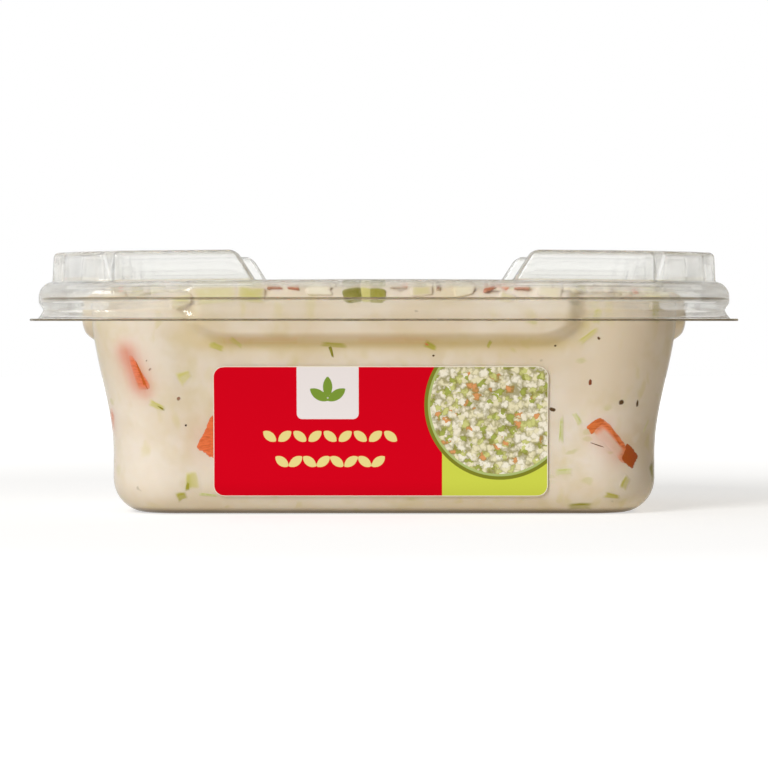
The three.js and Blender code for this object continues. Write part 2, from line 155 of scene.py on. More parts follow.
@dataclass
class Shape:
    """Points and faces gathered for one mesh, in millimetres."""

    blocks: list[Array] = field(default_factory=list)
    faces: list[list[int]] = field(default_factory=list)
    count: int = 0

    def add_points(self, points: Array) -> Array:
        """Adds points and gives their indexes.

        Args:
            points: Places, shaped (..., 3).

        Returns:
            Indexes, shaped as points without its last axis.
        """
        flat = points.reshape(-1, 3)
        first = self.count
        self.blocks.append(flat)
        self.count += len(flat)
        return np.arange(first, self.count).reshape(points.shape[:-1])

    def points(self) -> Array:
        """All points so far, shaped (count, 3)."""
        return np.concatenate(self.blocks)

    def add_quads(self, index: Array, wrapped: bool = True) -> None:
        """Joins each row of indexes to the next with four-sided faces.

        Args:
            index: Indexes, shaped (rows, stations).
            wrapped: Whether a row's last point is beside its first.
        """
        beside = np.roll(index, -1, axis=1)
        quads = np.stack([index[:-1], beside[:-1], beside[1:], index[1:]], axis=-1)
        if not wrapped:
            quads = quads[:, :-1]
        self.faces += quads.reshape(-1, 4).tolist()

    def add_fan(self, row: Array, middle: Array) -> None:
        """Closes a row of points with triangles to a point in its middle.

        Args:
            row: Indexes of the row.
            middle: The middle point.
        """
        pole = self.add_points(middle.reshape(1, 3))[0]
        beside = np.roll(row, -1)
        self.faces += np.stack([row, beside, np.full_like(row, pole)], axis=-1).tolist()

    def add_fill(self, loops: list[Array], spacing: float, height: HeightAt) -> None:
        """Fills the plan area inside the first loop and outside the others with triangles.

        The triangles are the Delaunay ones that keep the loops' edges, with free points on a square
        grid between them.

        Args:
            loops: Indexes of each loop's points, in order.
            spacing: Distance between the free points.
            height: A function of x and y that gives a free point's z.
        """
        places = self.points()
        rings = [places[loop][:, :2] for loop in loops]
        low, high = rings[0].min(axis=0), rings[0].max(axis=0)
        x, y = np.meshgrid(np.arange(low[0], high[0], spacing), np.arange(low[1], high[1], spacing))
        free = np.stack([x.ravel(), y.ravel()], axis=-1)
        free = free[self.between(free, rings)]
        edge = np.concatenate(rings)
        nearest = np.sqrt(((free[:, None] - edge[None]) ** 2).sum(axis=-1)).min(axis=1)
        free = free[nearest > spacing / 2]
        inner = self.add_points(np.column_stack([free, height(free[:, 0], free[:, 1])]))
        index = np.concatenate([*loops, inner])
        flat = [Vector(p) for p in np.concatenate([edge, free])]
        edges, start = [], 0
        for loop in loops:
            turn = np.arange(len(loop))
            edges += np.stack([turn + start, np.roll(turn, -1) + start], axis=-1).tolist()
            start += len(loop)
        _, _, triangles, origins, _, _ = delaunay_2d_cdt(flat, edges, [], 0, 1e-5)
        source = np.array([origin[0] for origin in origins])
        corners = source[np.array(triangles)]
        middles = np.concatenate([edge, free])[corners].mean(axis=1)
        self.faces += index[corners[self.between(middles, rings)]].tolist()

    @staticmethod
    def between(points: Array, rings: list[Array]) -> Array:
        """True for points inside an odd number of rings: a line to their right crosses them so often.

        Args:
            points: Places, shaped (n, 2).
            rings: Closed outlines, each shaped (m, 2).

        Returns:
            One truth value for each point.
        """
        inside = np.zeros(len(points), bool)
        for ring in rings:
            a, b = ring, np.roll(ring, -1, axis=0)
            spans = (a[None, :, 1] > points[:, None, 1]) != (b[None, :, 1] > points[:, None, 1])
            rise = np.where(b[:, 1] == a[:, 1], 1e-12, b[:, 1] - a[:, 1])
            at = a[None, :, 0] + (points[:, None, 1] - a[None, :, 1]) * ((b - a)[:, 0] / rise)[None]
            inside ^= ((spans & (points[:, None, 0] < at)).sum(axis=1) % 2).astype(bool)
        return inside

    def build(
        self, name: str, material: Material, slot: Slot, values: dict[str, Array], sharp: float | None = None
    ) -> Object:
        """Makes the object, with smooth faces that point outwards, riding on the body.

        Args:
            name: The piece's name.
            material: Its material.
            slot: The record's slot that its finish belongs to. It is not used.
            values: Numbers for each point, by attribute name.
            sharp: Angle in degrees above which an edge is sharp, or None for no sharp edge.

        Returns:
            The new object.
        """
        mesh = bpy.data.meshes.new(name)
        mesh.from_pydata((self.points() * MM).tolist(), [], self.faces)
        for key, numbers in values.items():
            layer = mesh.attributes.new(key, "FLOAT", "POINT")
            layer.data.foreach_set("value", np.ascontiguousarray(numbers, dtype=np.float32))
        mesh.shade_smooth()
        if sharp is not None:
            mesh.set_sharp_from_angle(angle=math.radians(sharp))
        mesh.materials.append(material)
        mesh.validate()
        piece = bpy.data.objects.new(name, mesh)
        bpy.context.scene.collection.objects.link(piece)
        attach(piece, BODY)
        logger.info("%s: %d points, %d faces", name, len(mesh.vertices), len(mesh.polygons))
        return piece


# Materials


@dataclass
class Tree:
    """The node tree of a new material or world, with short ways to the nodes that are used often."""

    owner: Material | bpy.types.World

    def __post_init__(self) -> None:
        """Takes out the nodes that the tree comes with."""
        self.owner.use_nodes = True
        self.owner.node_tree.nodes.clear()

    def add(self, kind: str, inputs: dict | None = None, **settings: object) -> Node:
        """Adds a node with its settings and links.

        Args:
            kind: Blender's name of the node's type, after "ShaderNode".
            inputs: A value or a socket for each input, by name or number.
            **settings: The node's own properties.

        Returns:
            The new node.
        """
        tree = self.owner.node_tree
        node = tree.nodes.new(f"ShaderNode{kind}")
        for name, value in settings.items():
            setattr(node, name, value)
        for key, value in (inputs or {}).items():
            if isinstance(value, Socket):
                tree.links.new(value, node.inputs[key])
            else:
                node.inputs[key].default_value = value
        return node

    def finish(self, kind: str, inputs: dict, output: str = "OutputMaterial") -> Material | bpy.types.World:
        """Adds the last shader and links it to an output.

        Args:
            kind: The shader's type.
            inputs: Its inputs.
            output: The output's type.

        Returns:
            The finished material or world.
        """
        shader = self.add(kind, inputs)
        self.add(output, {"Surface": shader.outputs[0]}).is_active_output = True
        return self.owner

    def place(self) -> Socket:
        """The place on the object, in metres."""
        return self.add("TexCoord").outputs["Object"]

    def attribute(self, name: str) -> Socket:
        """The number that the mesh has at each point under a name."""
        return self.add("Attribute", attribute_name=name).outputs["Fac"]

    def scaled(self, place: Socket, scale: Triple) -> Socket:
        """A place with each of its coordinates scaled."""
        return self.add("Mapping", {"Vector": place, "Scale": scale}).outputs[0]

    def noise(self, place: Socket, size: float, detail: float = 2.0, **inputs: float) -> Node:
        """Noise whose waves have a size in millimetres."""
        scale = 1 / (size * MM)
        return self.add("TexNoise", {"Vector": place, "Scale": scale, "Detail": detail, **inputs})

    def cells(self, place: Socket, size: float) -> Node:
        """Voronoi cells of a size in millimetres."""
        return self.add("TexVoronoi", {"Vector": place, "Scale": 1 / (size * MM), "Randomness": 1.0})

    def bent(self, place: Socket, size: float, share: float) -> Socket:
        """A place moved, by a share, towards the colour of noise of a size, read as a place."""
        inputs = {0: share, 4: place, 5: self.noise(place, size).outputs["Color"]}
        return self.add("Mix", inputs, data_type="VECTOR").outputs[1]

    def bump(
        self, noise: Node, depth: float, strength: Socket | float = 1.0, normal: Socket | None = None
    ) -> Socket:
        """A normal bent by noise.

        Args:
            noise: The noise.
            depth: Its height in millimetres.
            strength: The share of it that shows.
            normal: The normal that it bends, or None for the surface's own.

        Returns:
            The normal.
        """
        inputs = {"Height": noise.outputs["Fac"], "Distance": depth * MM, "Strength": strength}
        if normal is not None:
            inputs["Normal"] = normal
        return self.add("Bump", inputs).outputs["Normal"]

    def mapped(
        self, value: Socket, start: float, end: float, low: float = 0.0, high: float = 1.0, **settings: str
    ) -> Socket:
        """A number mapped so that start gives low and end gives high, and held between the two."""
        return self.add("MapRange", {0: value, 1: start, 2: end, 3: low, 4: high}, **settings).outputs[0]

    def math(self, operation: str, first: Socket, second: Socket | float) -> Socket:
        """Two numbers put through one of Blender's operations."""
        return self.add("Math", {0: first, 1: second}, operation=operation).outputs[0]

    def ramp(self, value: Socket, stops: Stops, interpolation: str = "LINEAR") -> Socket:
        """A colour ramp.

        Args:
            value: The place on it.
            stops: Its places and sRGB hex colours.
            interpolation: How it runs between them.

        Returns:
            The colour.
        """
        node = self.add("ValToRGB", {0: value})
        node.color_ramp.interpolation = interpolation
        elements = node.color_ramp.elements
        while len(elements) < len(stops):
            elements.new(1.0)
        for element, (place, colour) in zip(elements, stops, strict=True):
            element.position = place
            element.color = linear_colour(colour)
        return node.outputs[0]

    def mixed(self, share: Socket, first: Socket | str, second: Socket | str) -> Socket:
        """The second colour over the first, by a share. Each is a socket or an sRGB hex colour."""
        first, second = (linear_colour(v) if isinstance(v, str) else v for v in (first, second))
        return self.add("Mix", {0: share, 6: first, 7: second}, data_type="RGBA").outputs[2]


@dataclass(frozen=True)
class ClearPet:
    """Thermoformed PET sheet: clear and glossy, with the faint waves that forming leaves.

    The cut rims look grey, and so does the sheet where it is seen nearly edge on. Near the tub's base
    the same grey is painted contact shadow. Where it is drawn deepest, fine lines run along the pack.
    It is so thin that part of the light goes straight through it without being bent.
    """

    tint: str = "#fdfdfc"
    # Grey of the cut rims; near the tub's base the same grey is painted contact shadow.
    rim: str = "#988b72"
    ior: float = 1.45
    roughness: float = 0.02
    thinness: float = 0.35
    grazing: Pair = (0.94, 1.0)
    wave_length: float = 8.0
    wave_depth: float = 0.02
    line_length: float = 40.0
    line_height: float = 1.1
    line_depth: float = 0.012

    def build(self, name: str) -> Material:
        """Makes the material. Light from lamps and from matt surfaces passes straight through it.

        Args:
            name: The material's name.

        Returns:
            The material.
        """
        tree = Tree(bpy.data.materials.new(name))
        place = tree.place()
        waves = tree.bump(tree.noise(place, self.wave_length, 1.0), self.wave_depth)
        stretched = tree.scaled(place, (1.0, 1.0, self.line_length / self.line_height))
        lines = tree.noise(stretched, self.line_length)
        facing = tree.add("LayerWeight", {"Blend": 0.5}).outputs["Facing"]
        grey = tree.math("MAXIMUM", tree.attribute("rim"), tree.mapped(facing, *self.grazing))
        tint = tree.mixed(grey, self.tint, self.rim)
        sheet = tree.add(
            "BsdfPrincipled",
            {
                "Base Color": tint,
                "Roughness": self.roughness,
                "IOR": self.ior,
                "Transmission Weight": 1.0,
                "Normal": tree.bump(lines, self.line_depth, tree.attribute("drawn"), waves),
            },
        )
        window = tree.add("BsdfTransparent", {"Color": tint})
        path = tree.add("LightPath").outputs
        passes = tree.math("MAXIMUM", path["Is Shadow Ray"], path["Is Diffuse Ray"])
        passes = tree.math("MAXIMUM", passes, self.thinness)
        return tree.finish("MixShader", {0: passes, 1: sheet.outputs[0], 2: window.outputs[0]})


@dataclass(frozen=True)
class Dressing:
    """Mayonnaise dressing pressed against the wall, with chopped cabbage sunk in it.

    The eye sees smooth cream, faintly cloudy, with soft-edged strips of pale green and straw where a
    piece lies just under it, blurred dark grains, and pink where carrot has stained it. Under the
    shelf, at the shelf's ends and along the base it is painted yellower and darker, as shade.
    """

    cream: str = "#e5d6c1"
    ivory: str = "#ede2d5"
    tan: str = "#d9c89c"
    straw: str = "#d9cc8f"
    leaf: str = "#c3c26c"
    grain: str = "#8d7d63"
    stain: str = "#dc7c60"
    # Painted shade: the cream under the shelf, at its ends and near the base is mixed towards this colour.
    painted_shade: str = "#dbc486"
    roughness: float = 0.3
    cloud_size: float = 14.0
    haze_size: float = 9.0
    strip_size: float = 7.0
    chip_size: float = 3.4
    grain_size: float = 2.6
    relief: float = 0.1
    fold_size: float = 5.0
    bend: float = 0.005

    def spots(
        self, tree: Tree, place: Socket, size: float, share: float, reach: Pair, strength: float
    ) -> Socket:
        """A mask of soft spots: a Voronoi cell has one if its random number is high enough.

        Args:
            tree: The node tree.
            place: Coordinates.
            size: Cell size in millimetres.
            share: The share of cells that have a spot.
            reach: Distances from a cell's point at which its spot starts to fade and is gone.
            strength: The mask's value in a spot.

        Returns:
            The mask.
        """
        cells = tree.cells(place, size).outputs
        chosen = tree.mapped(cells["Color"], 1 - share, 1 - share * 0.6, 0.0, strength)
        inside = tree.mapped(cells["Distance"], *reach, 1.0, 0.0, interpolation_type="SMOOTHSTEP")
        return tree.math("MULTIPLY", chosen, inside)

    def colour(self, tree: Tree, place: Socket) -> Socket:
        """The colour at a place: cloudy cream, then each layer of spots, then painted shade and stain.

        Args:
            tree: The node tree.
            place: Coordinates.

        Returns:
            The colour.
        """
        bent = tree.bent(place, self.fold_size, self.bend)
        upright, level = tree.scaled(bent, (2.2, 2.2, 0.75)), tree.scaled(bent, (0.8, 0.8, 1.7))
        haze = tree.noise(place, self.haze_size, 3.0, Roughness=0.6).outputs["Fac"]
        layers = (
            (tree.mapped(haze, 0.52, 0.72, 0.0, 0.45), self.tan),
            (self.spots(tree, upright, self.strip_size, 0.45, (0.12, 0.5), 0.42), self.straw),
            (self.spots(tree, level, self.chip_size, 0.2, (0.18, 0.42), 0.4), self.leaf),
            (self.spots(tree, bent, self.chip_size, 0.18, (0.2, 0.45), 0.6), self.ivory),
            (self.spots(tree, bent, self.grain_size, 0.14, (0.06, 0.2), 0.5), self.grain),
            # Painted shade under the shelf, at the shelf's ends and near the base.
            (tree.attribute("painted_shade"), self.painted_shade),
            (tree.attribute("stain"), self.stain),
        )
        clouds = tree.noise(place, self.cloud_size, 3.0).outputs["Fac"]
        colour = tree.ramp(clouds, ((0.38, self.ivory), (0.62, self.cream)))
        for mask, tone in layers:
            colour = tree.mixed(mask, colour, tone)
        return colour

    def build(self, name: str) -> Material:
        """Makes the material.

        Args:
            name: The material's name.

        Returns:
            The material.
        """
        tree = Tree(bpy.data.materials.new(name))
        place = tree.place()
        return tree.finish(
            "BsdfPrincipled",
            {
                "Base Color": self.colour(tree, place),
                "Roughness": self.roughness,
                "IOR": 1.46,
                "Specular IOR Level": 0.12,
                "Subsurface Weight": 0.2,
                "Subsurface Radius": (1.8, 1.2, 0.6),
                "Subsurface Scale": 1.0 * MM,
                "Normal": tree.bump(tree.noise(place, self.fold_size), self.relief, 0.4),
            },
        )


@dataclass(frozen=True)
class Vegetable:
    """Raw chopped vegetable under a film of dressing: each piece has its own tone from a ramp."""

    tones: Stops
    grain: str
    grain_size: float = 1.2
    grain_share: float = 0.25
    grain_stretch: Triple = (1.0, 1.0, 1.0)
    roughness: float = 0.3
    scatter: float = 0.1
    relief: float = 0.08

    def build(self, name: str, dressing: Dressing) -> Material:
        """Makes the material: the piece's tone, streaked with the grain colour, under its dressing.

        Args:
            name: The material's name.
            dressing: The dressing that covers it.

        Returns:
            The material.
        """
        tree = Tree(bpy.data.materials.new(name))
        place = tree.place()
        streaks = tree.noise(tree.scaled(place, self.grain_stretch), self.grain_size, 3.0)
        share = tree.mapped(streaks.outputs["Fac"], 0.45, 0.7, 0.0, self.grain_share)
        streaked = tree.mixed(share, tree.ramp(tree.attribute("tone"), self.tones), self.grain)
        return tree.finish(
            "BsdfPrincipled",
            {
                "Base Color": tree.mixed(tree.attribute("film"), streaked, dressing.colour(tree, place)),
                "Roughness": self.roughness,
                "IOR": 1.4,
                "Specular IOR Level": 0.14,
                "Subsurface Weight": self.scatter,
                "Subsurface Radius": (1.0, 0.9, 0.5),
                "Subsurface Scale": 0.5 * MM,
                "Normal": tree.bump(streaks, self.relief, 0.4),
            },
        )


CABBAGE = Vegetable(
    tones=((0.0, "#f3ecda"), (0.5, "#ece3c3"), (0.8, "#dfdaa0"), (1.0, "#bfc873")),
    grain="#f8f4e8",
)
CARROT = Vegetable(
    tones=((0.0, "#ec6c3e"), (0.4, "#f08a4e"), (0.8, "#d9661f"), (1.0, "#b4560f")),
    grain="#b8481a",
    grain_size=1.0,
    grain_share=0.6,
    grain_stretch=(0.6, 0.6, 3.0),
)
PEPPER = Vegetable(
    tones=((0.0, "#7d7800"), (0.3, "#9c9620"), (0.6, "#b9b244"), (1.0, "#d3cc7c")),
    grain="#cfc878",
    grain_share=0.25,
)
SPICE = Vegetable(
    tones=((0.0, "#453420"), (0.5, "#6a4c2a"), (1.0, "#8f4a2c")),
    grain="#33241a",
    scatter=0.0,
)


# The pack's surfaces


@dataclass(frozen=True)
class Stations:
    """Places round a rounded rectangle, counterclockwise from the left end of the front side.

    A place is anchor times the straight part's half size, plus the corner radius along outward.
    """

    anchor: Array
    outward: Array

    @classmethod
    def make(cls, along_long: int, along_short: int, in_corner: int) -> "Stations":
        """Spreads stations evenly along each side and each corner.

        Args:
            along_long: Stations on each side along X, its ends included.
            along_short: Stations on each side along Y, its ends included.
            in_corner: Stations inside each corner's quarter circle.

        Returns:
            The stations.
        """
        anchors, outwards = [], []
        for turn, count in enumerate((along_long, along_short, along_long, along_short)):
            share = np.linspace(-1, 1, count)
            side = np.stack([share, -np.ones(count)], axis=-1)
            angle = -math.pi / 2 + np.arange(1, in_corner + 1) / (in_corner + 1) * math.pi / 2
            anchors += [quarter_turns(side, turn)]
            outwards += [quarter_turns(np.tile([0.0, -1.0], (count, 1)), turn)]
            anchors += [quarter_turns(np.tile([1.0, -1.0], (in_corner, 1)), turn)]
            outwards += [quarter_turns(np.stack([np.cos(angle), np.sin(angle)], axis=-1), turn)]
        return cls(np.concatenate(anchors), np.concatenate(outwards))


def quarter_turns(flat: Array, turns: int) -> Array:
    """Turns plan points or directions counterclockwise by right angles: (x, y) to (-y, x).

    Args:
        flat: Shaped (..., 2).
        turns: How many right angles.

    Returns:
        An array of flat's shape.
    """
    for _ in range(turns % 4):
        flat = np.stack([-flat[..., 1], flat[..., 0]], axis=-1)
    return flat


@dataclass(frozen=True)
class Pack:
    """The sizes that the tub, the lid and the contents share, in millimetres."""

    half_length: float
    half_width: float
    rim_height: float
    wall: float = 0.5
    flange_radius: float = 21.0
    panel_height: float = 49.85
    bow_rise: float = 0.75
    bow_long: float = 62.0
    bow_short: float = 58.0

    @classmethod
    def from_frame(cls) -> "Pack":
        """Reads the overall sizes from the CAD nodes' boxes.

        Returns:
            The pack.
        """
        low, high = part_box("lid")
        tub_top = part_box("tub")[1].z
        return cls(
            half_length=(high.x - low.x) / 2 / MM,
            half_width=(high.y - low.y) / 2 / MM,
            rim_height=tub_top / MM - cls.wall,
        )

    def rings(self, stations: Stations, inset: Array, radius: Array, z: Array) -> Array:
        """Stacked rounded rectangles.

        Args:
            stations: Places round each ring.
            inset: How far each ring lies in from the flange, shaped (rows,) or (rows, stations).
            radius: Each ring's corner radius, of a like shape.
            z: Each ring's height, of a like shape.

        Returns:
            Points, shaped (rows, stations, 3).
        """
        size = (len(z), len(stations.anchor))
        inset, radius, z = (np.broadcast_to(v.reshape(len(v), -1), size) for v in (inset, radius, z))
        half = np.stack([self.half_length - inset, self.half_width - inset], axis=-1)
        flat = stations.anchor * (half - radius[..., None]) + stations.outward * radius[..., None]
        return np.concatenate([flat, z[..., None]], axis=-1)

    def bow(self, x: Array, y: Array) -> Array:
        """How far the filled pack pushes the lid up: a parabola along X times a half ellipse along Y.

        Args:
            x: Places along X.
            y: Places along Y.

        Returns:
            The rise at each place.
        """
        along = np.maximum(0, 1 - (x / self.bow_long) ** 2)
        across = np.maximum(0, 1 - (y / self.bow_short) ** 2)
        return self.bow_rise * along * np.sqrt(across)

    def ceiling(self, x: Array, y: Array) -> Array:
        """Height of the panel's underside above a place."""
        return self.panel_height - self.wall + self.bow(x, y)


@dataclass
class Tub:
    """The clear tub: a tapered wall with a shelf pressed out of each side, a flange and a raised base."""

    pack: Pack
    rim_inset: float = 12.4
    taper: float = 4.7
    taper_depth: float = 34.0
    top_radius: float = 17.0
    foot_radius: float = 14.5
    base_round: float = 7.4
    base_recess: float = 0.8
    foot_width: float = 5.0
    foot_corner: float = 3.5
    fillet: float = 1.8
    flange_inset: float = 2.75
    shelf_depth: float = 2.9
    shelf_foot: float = 35.8
    shelf_half: Pair = (43.3, 21.3)
    shelf_slant_from: float = 41.3
    shelf_slant: float = 1.25
    shelf_ramp: float = 3.3
    shelf_end_stretch: float = 1.35
    shelf_blend: float = 2.8
    stations: tuple[int, int, int] = (118, 62, 18)
    recess_rows: int = 6
    foot_rows: int = 3
    curl_rows: int = 10
    fillet_rows: int = 7
    row_steps: Pair = (1.3, 0.33)
    # Heights over which the tub's outer face near the base takes the rim grey, as painted contact shadow.
    painted_foot_shadow: Pair = (-1.3, -0.3)

    def wall_inset(self, z: Array) -> Array:
        """How far in the wall is: it eases in by the taper, like half a cosine wave."""
        depth = np.clip((self.pack.rim_height - z) / self.taper_depth, 0, 1)
        return self.rim_inset + self.taper * (1 - np.cos(math.pi * depth)) / 2

    def wall_section(self, z: Array) -> tuple[Array, Array]:
        """The wall's inset and corner radius. Below base_round it follows a quarter circle.

        Args:
            z: Heights.

        Returns:
            Inset and radius at each height.
        """
        below = np.clip(self.base_round - z, 0, self.base_round)
        curl = self.base_round - np.sqrt(self.base_round**2 - below**2)
        share = np.clip(z / self.pack.rim_height, 0, 1)
        radius = self.foot_radius + (self.top_radius - self.foot_radius) * share - curl
        return self.wall_inset(z) + curl, np.maximum(radius, self.foot_corner)

    def shelf_push(self, points: Array) -> Array:
        """How far the shelf stands out of the wall: it ramps up from its foot and its slanted ends.

        Args:
            points: Points on the plain wall, shaped (..., 3).

        Returns:
            The push at each point.
        """
        z = points[..., 2]
        below = np.clip(self.shelf_slant_from - z, 0, self.shelf_slant_from - self.shelf_foot)
        beside_x = self.shelf_half[0] - self.shelf_slant * below - np.abs(points[..., 0])
        beside_y = self.shelf_half[1] - self.shelf_slant * below - np.abs(points[..., 1])
        beside = np.maximum(beside_x, beside_y) / self.shelf_end_stretch
        room = smooth_least(z - self.shelf_foot, beside, self.shelf_blend)
        return self.shelf_depth * smoothstep(room, 0, self.shelf_ramp)

    def pushed(self, points: Array, outward: Array) -> Array:
        """Points on the plain wall with the shelf pressed out along their plan directions."""
        out = self.shelf_push(points)[..., None] * outward
        return points + np.concatenate([out, np.zeros_like(out[..., :1])], axis=-1)

    def on_wall(self, wall: Wall, along: Array, z: Array) -> Array:
        """Points on the wall's outer face, with along measured on the surface.

        Args:
            wall: Which wall.
            along: Distance to the right of its middle, seen from outside.
            z: Heights.

        Returns:
            Points, shaped as along with a last axis of 3.
        """
        inset, radius = self.wall_section(z)
        reach = (self.pack.half_length, self.pack.half_width)
        across, deep = reach if wall.value % 2 == 0 else reach[::-1]
        straight = across - inset - radius
        angle = np.maximum(np.abs(along) - straight, 0) / radius
        outward = np.stack([np.sign(along) * np.sin(angle), -np.cos(angle)], axis=-1)
        middle = np.stack([np.clip(along, -straight, straight), radius + inset - deep], axis=-1)
        flat = quarter_turns(middle + radius[..., None] * outward, wall.value)
        points = np.concatenate([flat, z[..., None]], axis=-1)
        return self.pushed(points, quarter_turns(outward, wall.value))

    def along_from_middle(self, wall: Wall, across: float, z: float) -> float:
        """Distance along the surface of a place that is seen at a distance from the wall's middle.

        Args:
            wall: Which wall.
            across: Distance to the right of its middle, seen straight on.
            z: Height.

        Returns:
            The distance along the surface.
        """
        inset, radius = (float(v) for v in self.wall_section(np.array(z)))
        half = (self.pack.half_length, self.pack.half_width)[wall.value % 2]
        straight = half - inset - radius
        past = min(max(abs(across) - straight, 0.0) / radius, 1.0)
        return math.copysign(min(abs(across), straight) + radius * math.asin(past), across)

    def outer_face(self, stations: Stations) -> Array:
        """The outer face, from near the base's middle out to the flange's edge.

        Args:
            stations: Places round each ring.

        Returns:
            Points, shaped (rows, stations, 3).
        """
        pack = self.pack
        foot_in = float(self.wall_inset(np.array(0.0))) + self.base_round + self.foot_width
        recess = np.linspace(0, 1, self.recess_rows)
        recess_width = 1.6 * self.base_recess
        recessed = pack.rings(
            stations,
            foot_in + recess_width * (1 - recess),
            np.full(self.recess_rows, self.foot_corner),
            self.base_recess * (1 - smoothstep(recess, 0, 1)),
        )
        shares = np.array([0.04, 0.3, 0.6, 0.85, 0.97])
        middle = recessed[0] * np.stack([shares, shares, np.ones_like(shares)], axis=-1)[:, None]
        foot = pack.rings(
            stations,
            np.linspace(foot_in, foot_in - self.foot_width, self.foot_rows + 2)[1:-1],
            np.full(self.foot_rows, self.foot_corner),
            np.zeros(self.foot_rows),
        )
        angles = np.linspace(0, math.pi / 2, self.curl_rows + 1)[:-1]
        low = self.base_round * (1 - np.cos(angles))
        fillet_foot = pack.rim_height - self.fillet
        coarse, fine = self.row_steps
        below_shelf, shelf_top, above_shelf = (self.shelf_foot + step for step in (-1, 4.5, 4.8))
        wall_z = np.concatenate(
            [
                low,
                np.arange(self.base_round, below_shelf, coarse),
                np.arange(below_shelf, shelf_top, fine),
                np.linspace(above_shelf, fillet_foot, 4),
            ]
        )
        inset, radius = self.wall_section(wall_z)
        wall = self.pushed(pack.rings(stations, inset, radius, wall_z), stations.outward)
        curve = np.linspace(0, math.pi / 2, self.fillet_rows + 1)[1:]
        out = self.fillet * (1 - np.cos(curve))
        rim = wall[-1] - [0, 0, fillet_foot]
        outward = np.pad(stations.outward, ((0, 0), (0, 1)))
        level = np.zeros(self.fillet_rows)
        rise = np.stack([level, level, fillet_foot + self.fillet * np.sin(curve)], axis=-1)
        fillet = rim + out[:, None, None] * outward + rise[:, None]
        edge = pack.rings(
            stations,
            np.array([self.flange_inset + pack.wall / 2]),
            np.array([pack.flange_radius - self.flange_inset - pack.wall / 2]),
            np.array([pack.rim_height]),
        )
        share = np.linspace(0, 1, 5)[1:, None, None]
        flange = fillet[-1] * (1 - share) + edge * share
        return np.concatenate([middle, recessed, foot, wall, fillet, flange])

    def build(self, material: Material) -> None:
        """Makes the tub as a closed sheet: its outer face, and the same face moved in by its thickness.

        Args:
            material: The sheet's material.
        """
        outer = self.outer_face(Stations.make(*self.stations))
        inner = outer - self.pack.wall * grid_normals(outer)
        shape = Shape()
        outside, inside = shape.add_points(outer), shape.add_points(inner)
        shape.add_quads(outside)
        shape.add_quads(inside[::-1])
        base = np.array([0, 0, self.base_recess])
        shape.add_fan(outside[0][::-1], base)
        shape.add_fan(inside[0], base + [0, 0, self.pack.wall])
        rim = add_round_rim(shape, outside[-1], inside[-1])
        # Painted contact shadow: the outer face near the base gets the rim grey.
        rim[outside.ravel()] = smoothstep(-outer[..., 2], *self.painted_foot_shadow).ravel()
        tub = shape.build("tub_sheet", material, Slot.TUB, {"rim": rim, "drawn": 0 * rim})
        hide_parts("tub")


def add_round_rim(shape: Shape, first: Array, last: Array) -> Array:
    """Joins two rings, one above the other, by a half-round rim.

    Args:
        shape: Where the points and faces go.
        first: Indexes of the ring whose face the rim continues.
        last: Indexes of the other ring.

    Returns:
        1 for each of the rim's points and 0 for every other point of the shape.
    """
    places = shape.points()
    low, high = places[first], places[last]
    along = np.roll(low, -1, axis=0) - np.roll(low, 1, axis=0)
    outward = np.stack([along[:, 1], -along[:, 0], np.zeros(len(along))], axis=-1)
    outward /= np.linalg.norm(outward, axis=1, keepdims=True)
    turn = np.linspace(0, math.pi, 7)[1:-1, None, None]
    radius = np.linalg.norm(high - low, axis=1, keepdims=True) / 2
    rows = (low + high) / 2 - (high - low) / 2 * np.cos(turn) + outward * radius * np.sin(turn)
    rim = shape.add_points(rows)
    shape.add_quads(np.concatenate([first[None], rim, last[None]]))
    mask = np.zeros(shape.count)
    mask[rim.ravel()] = 1
    return mask


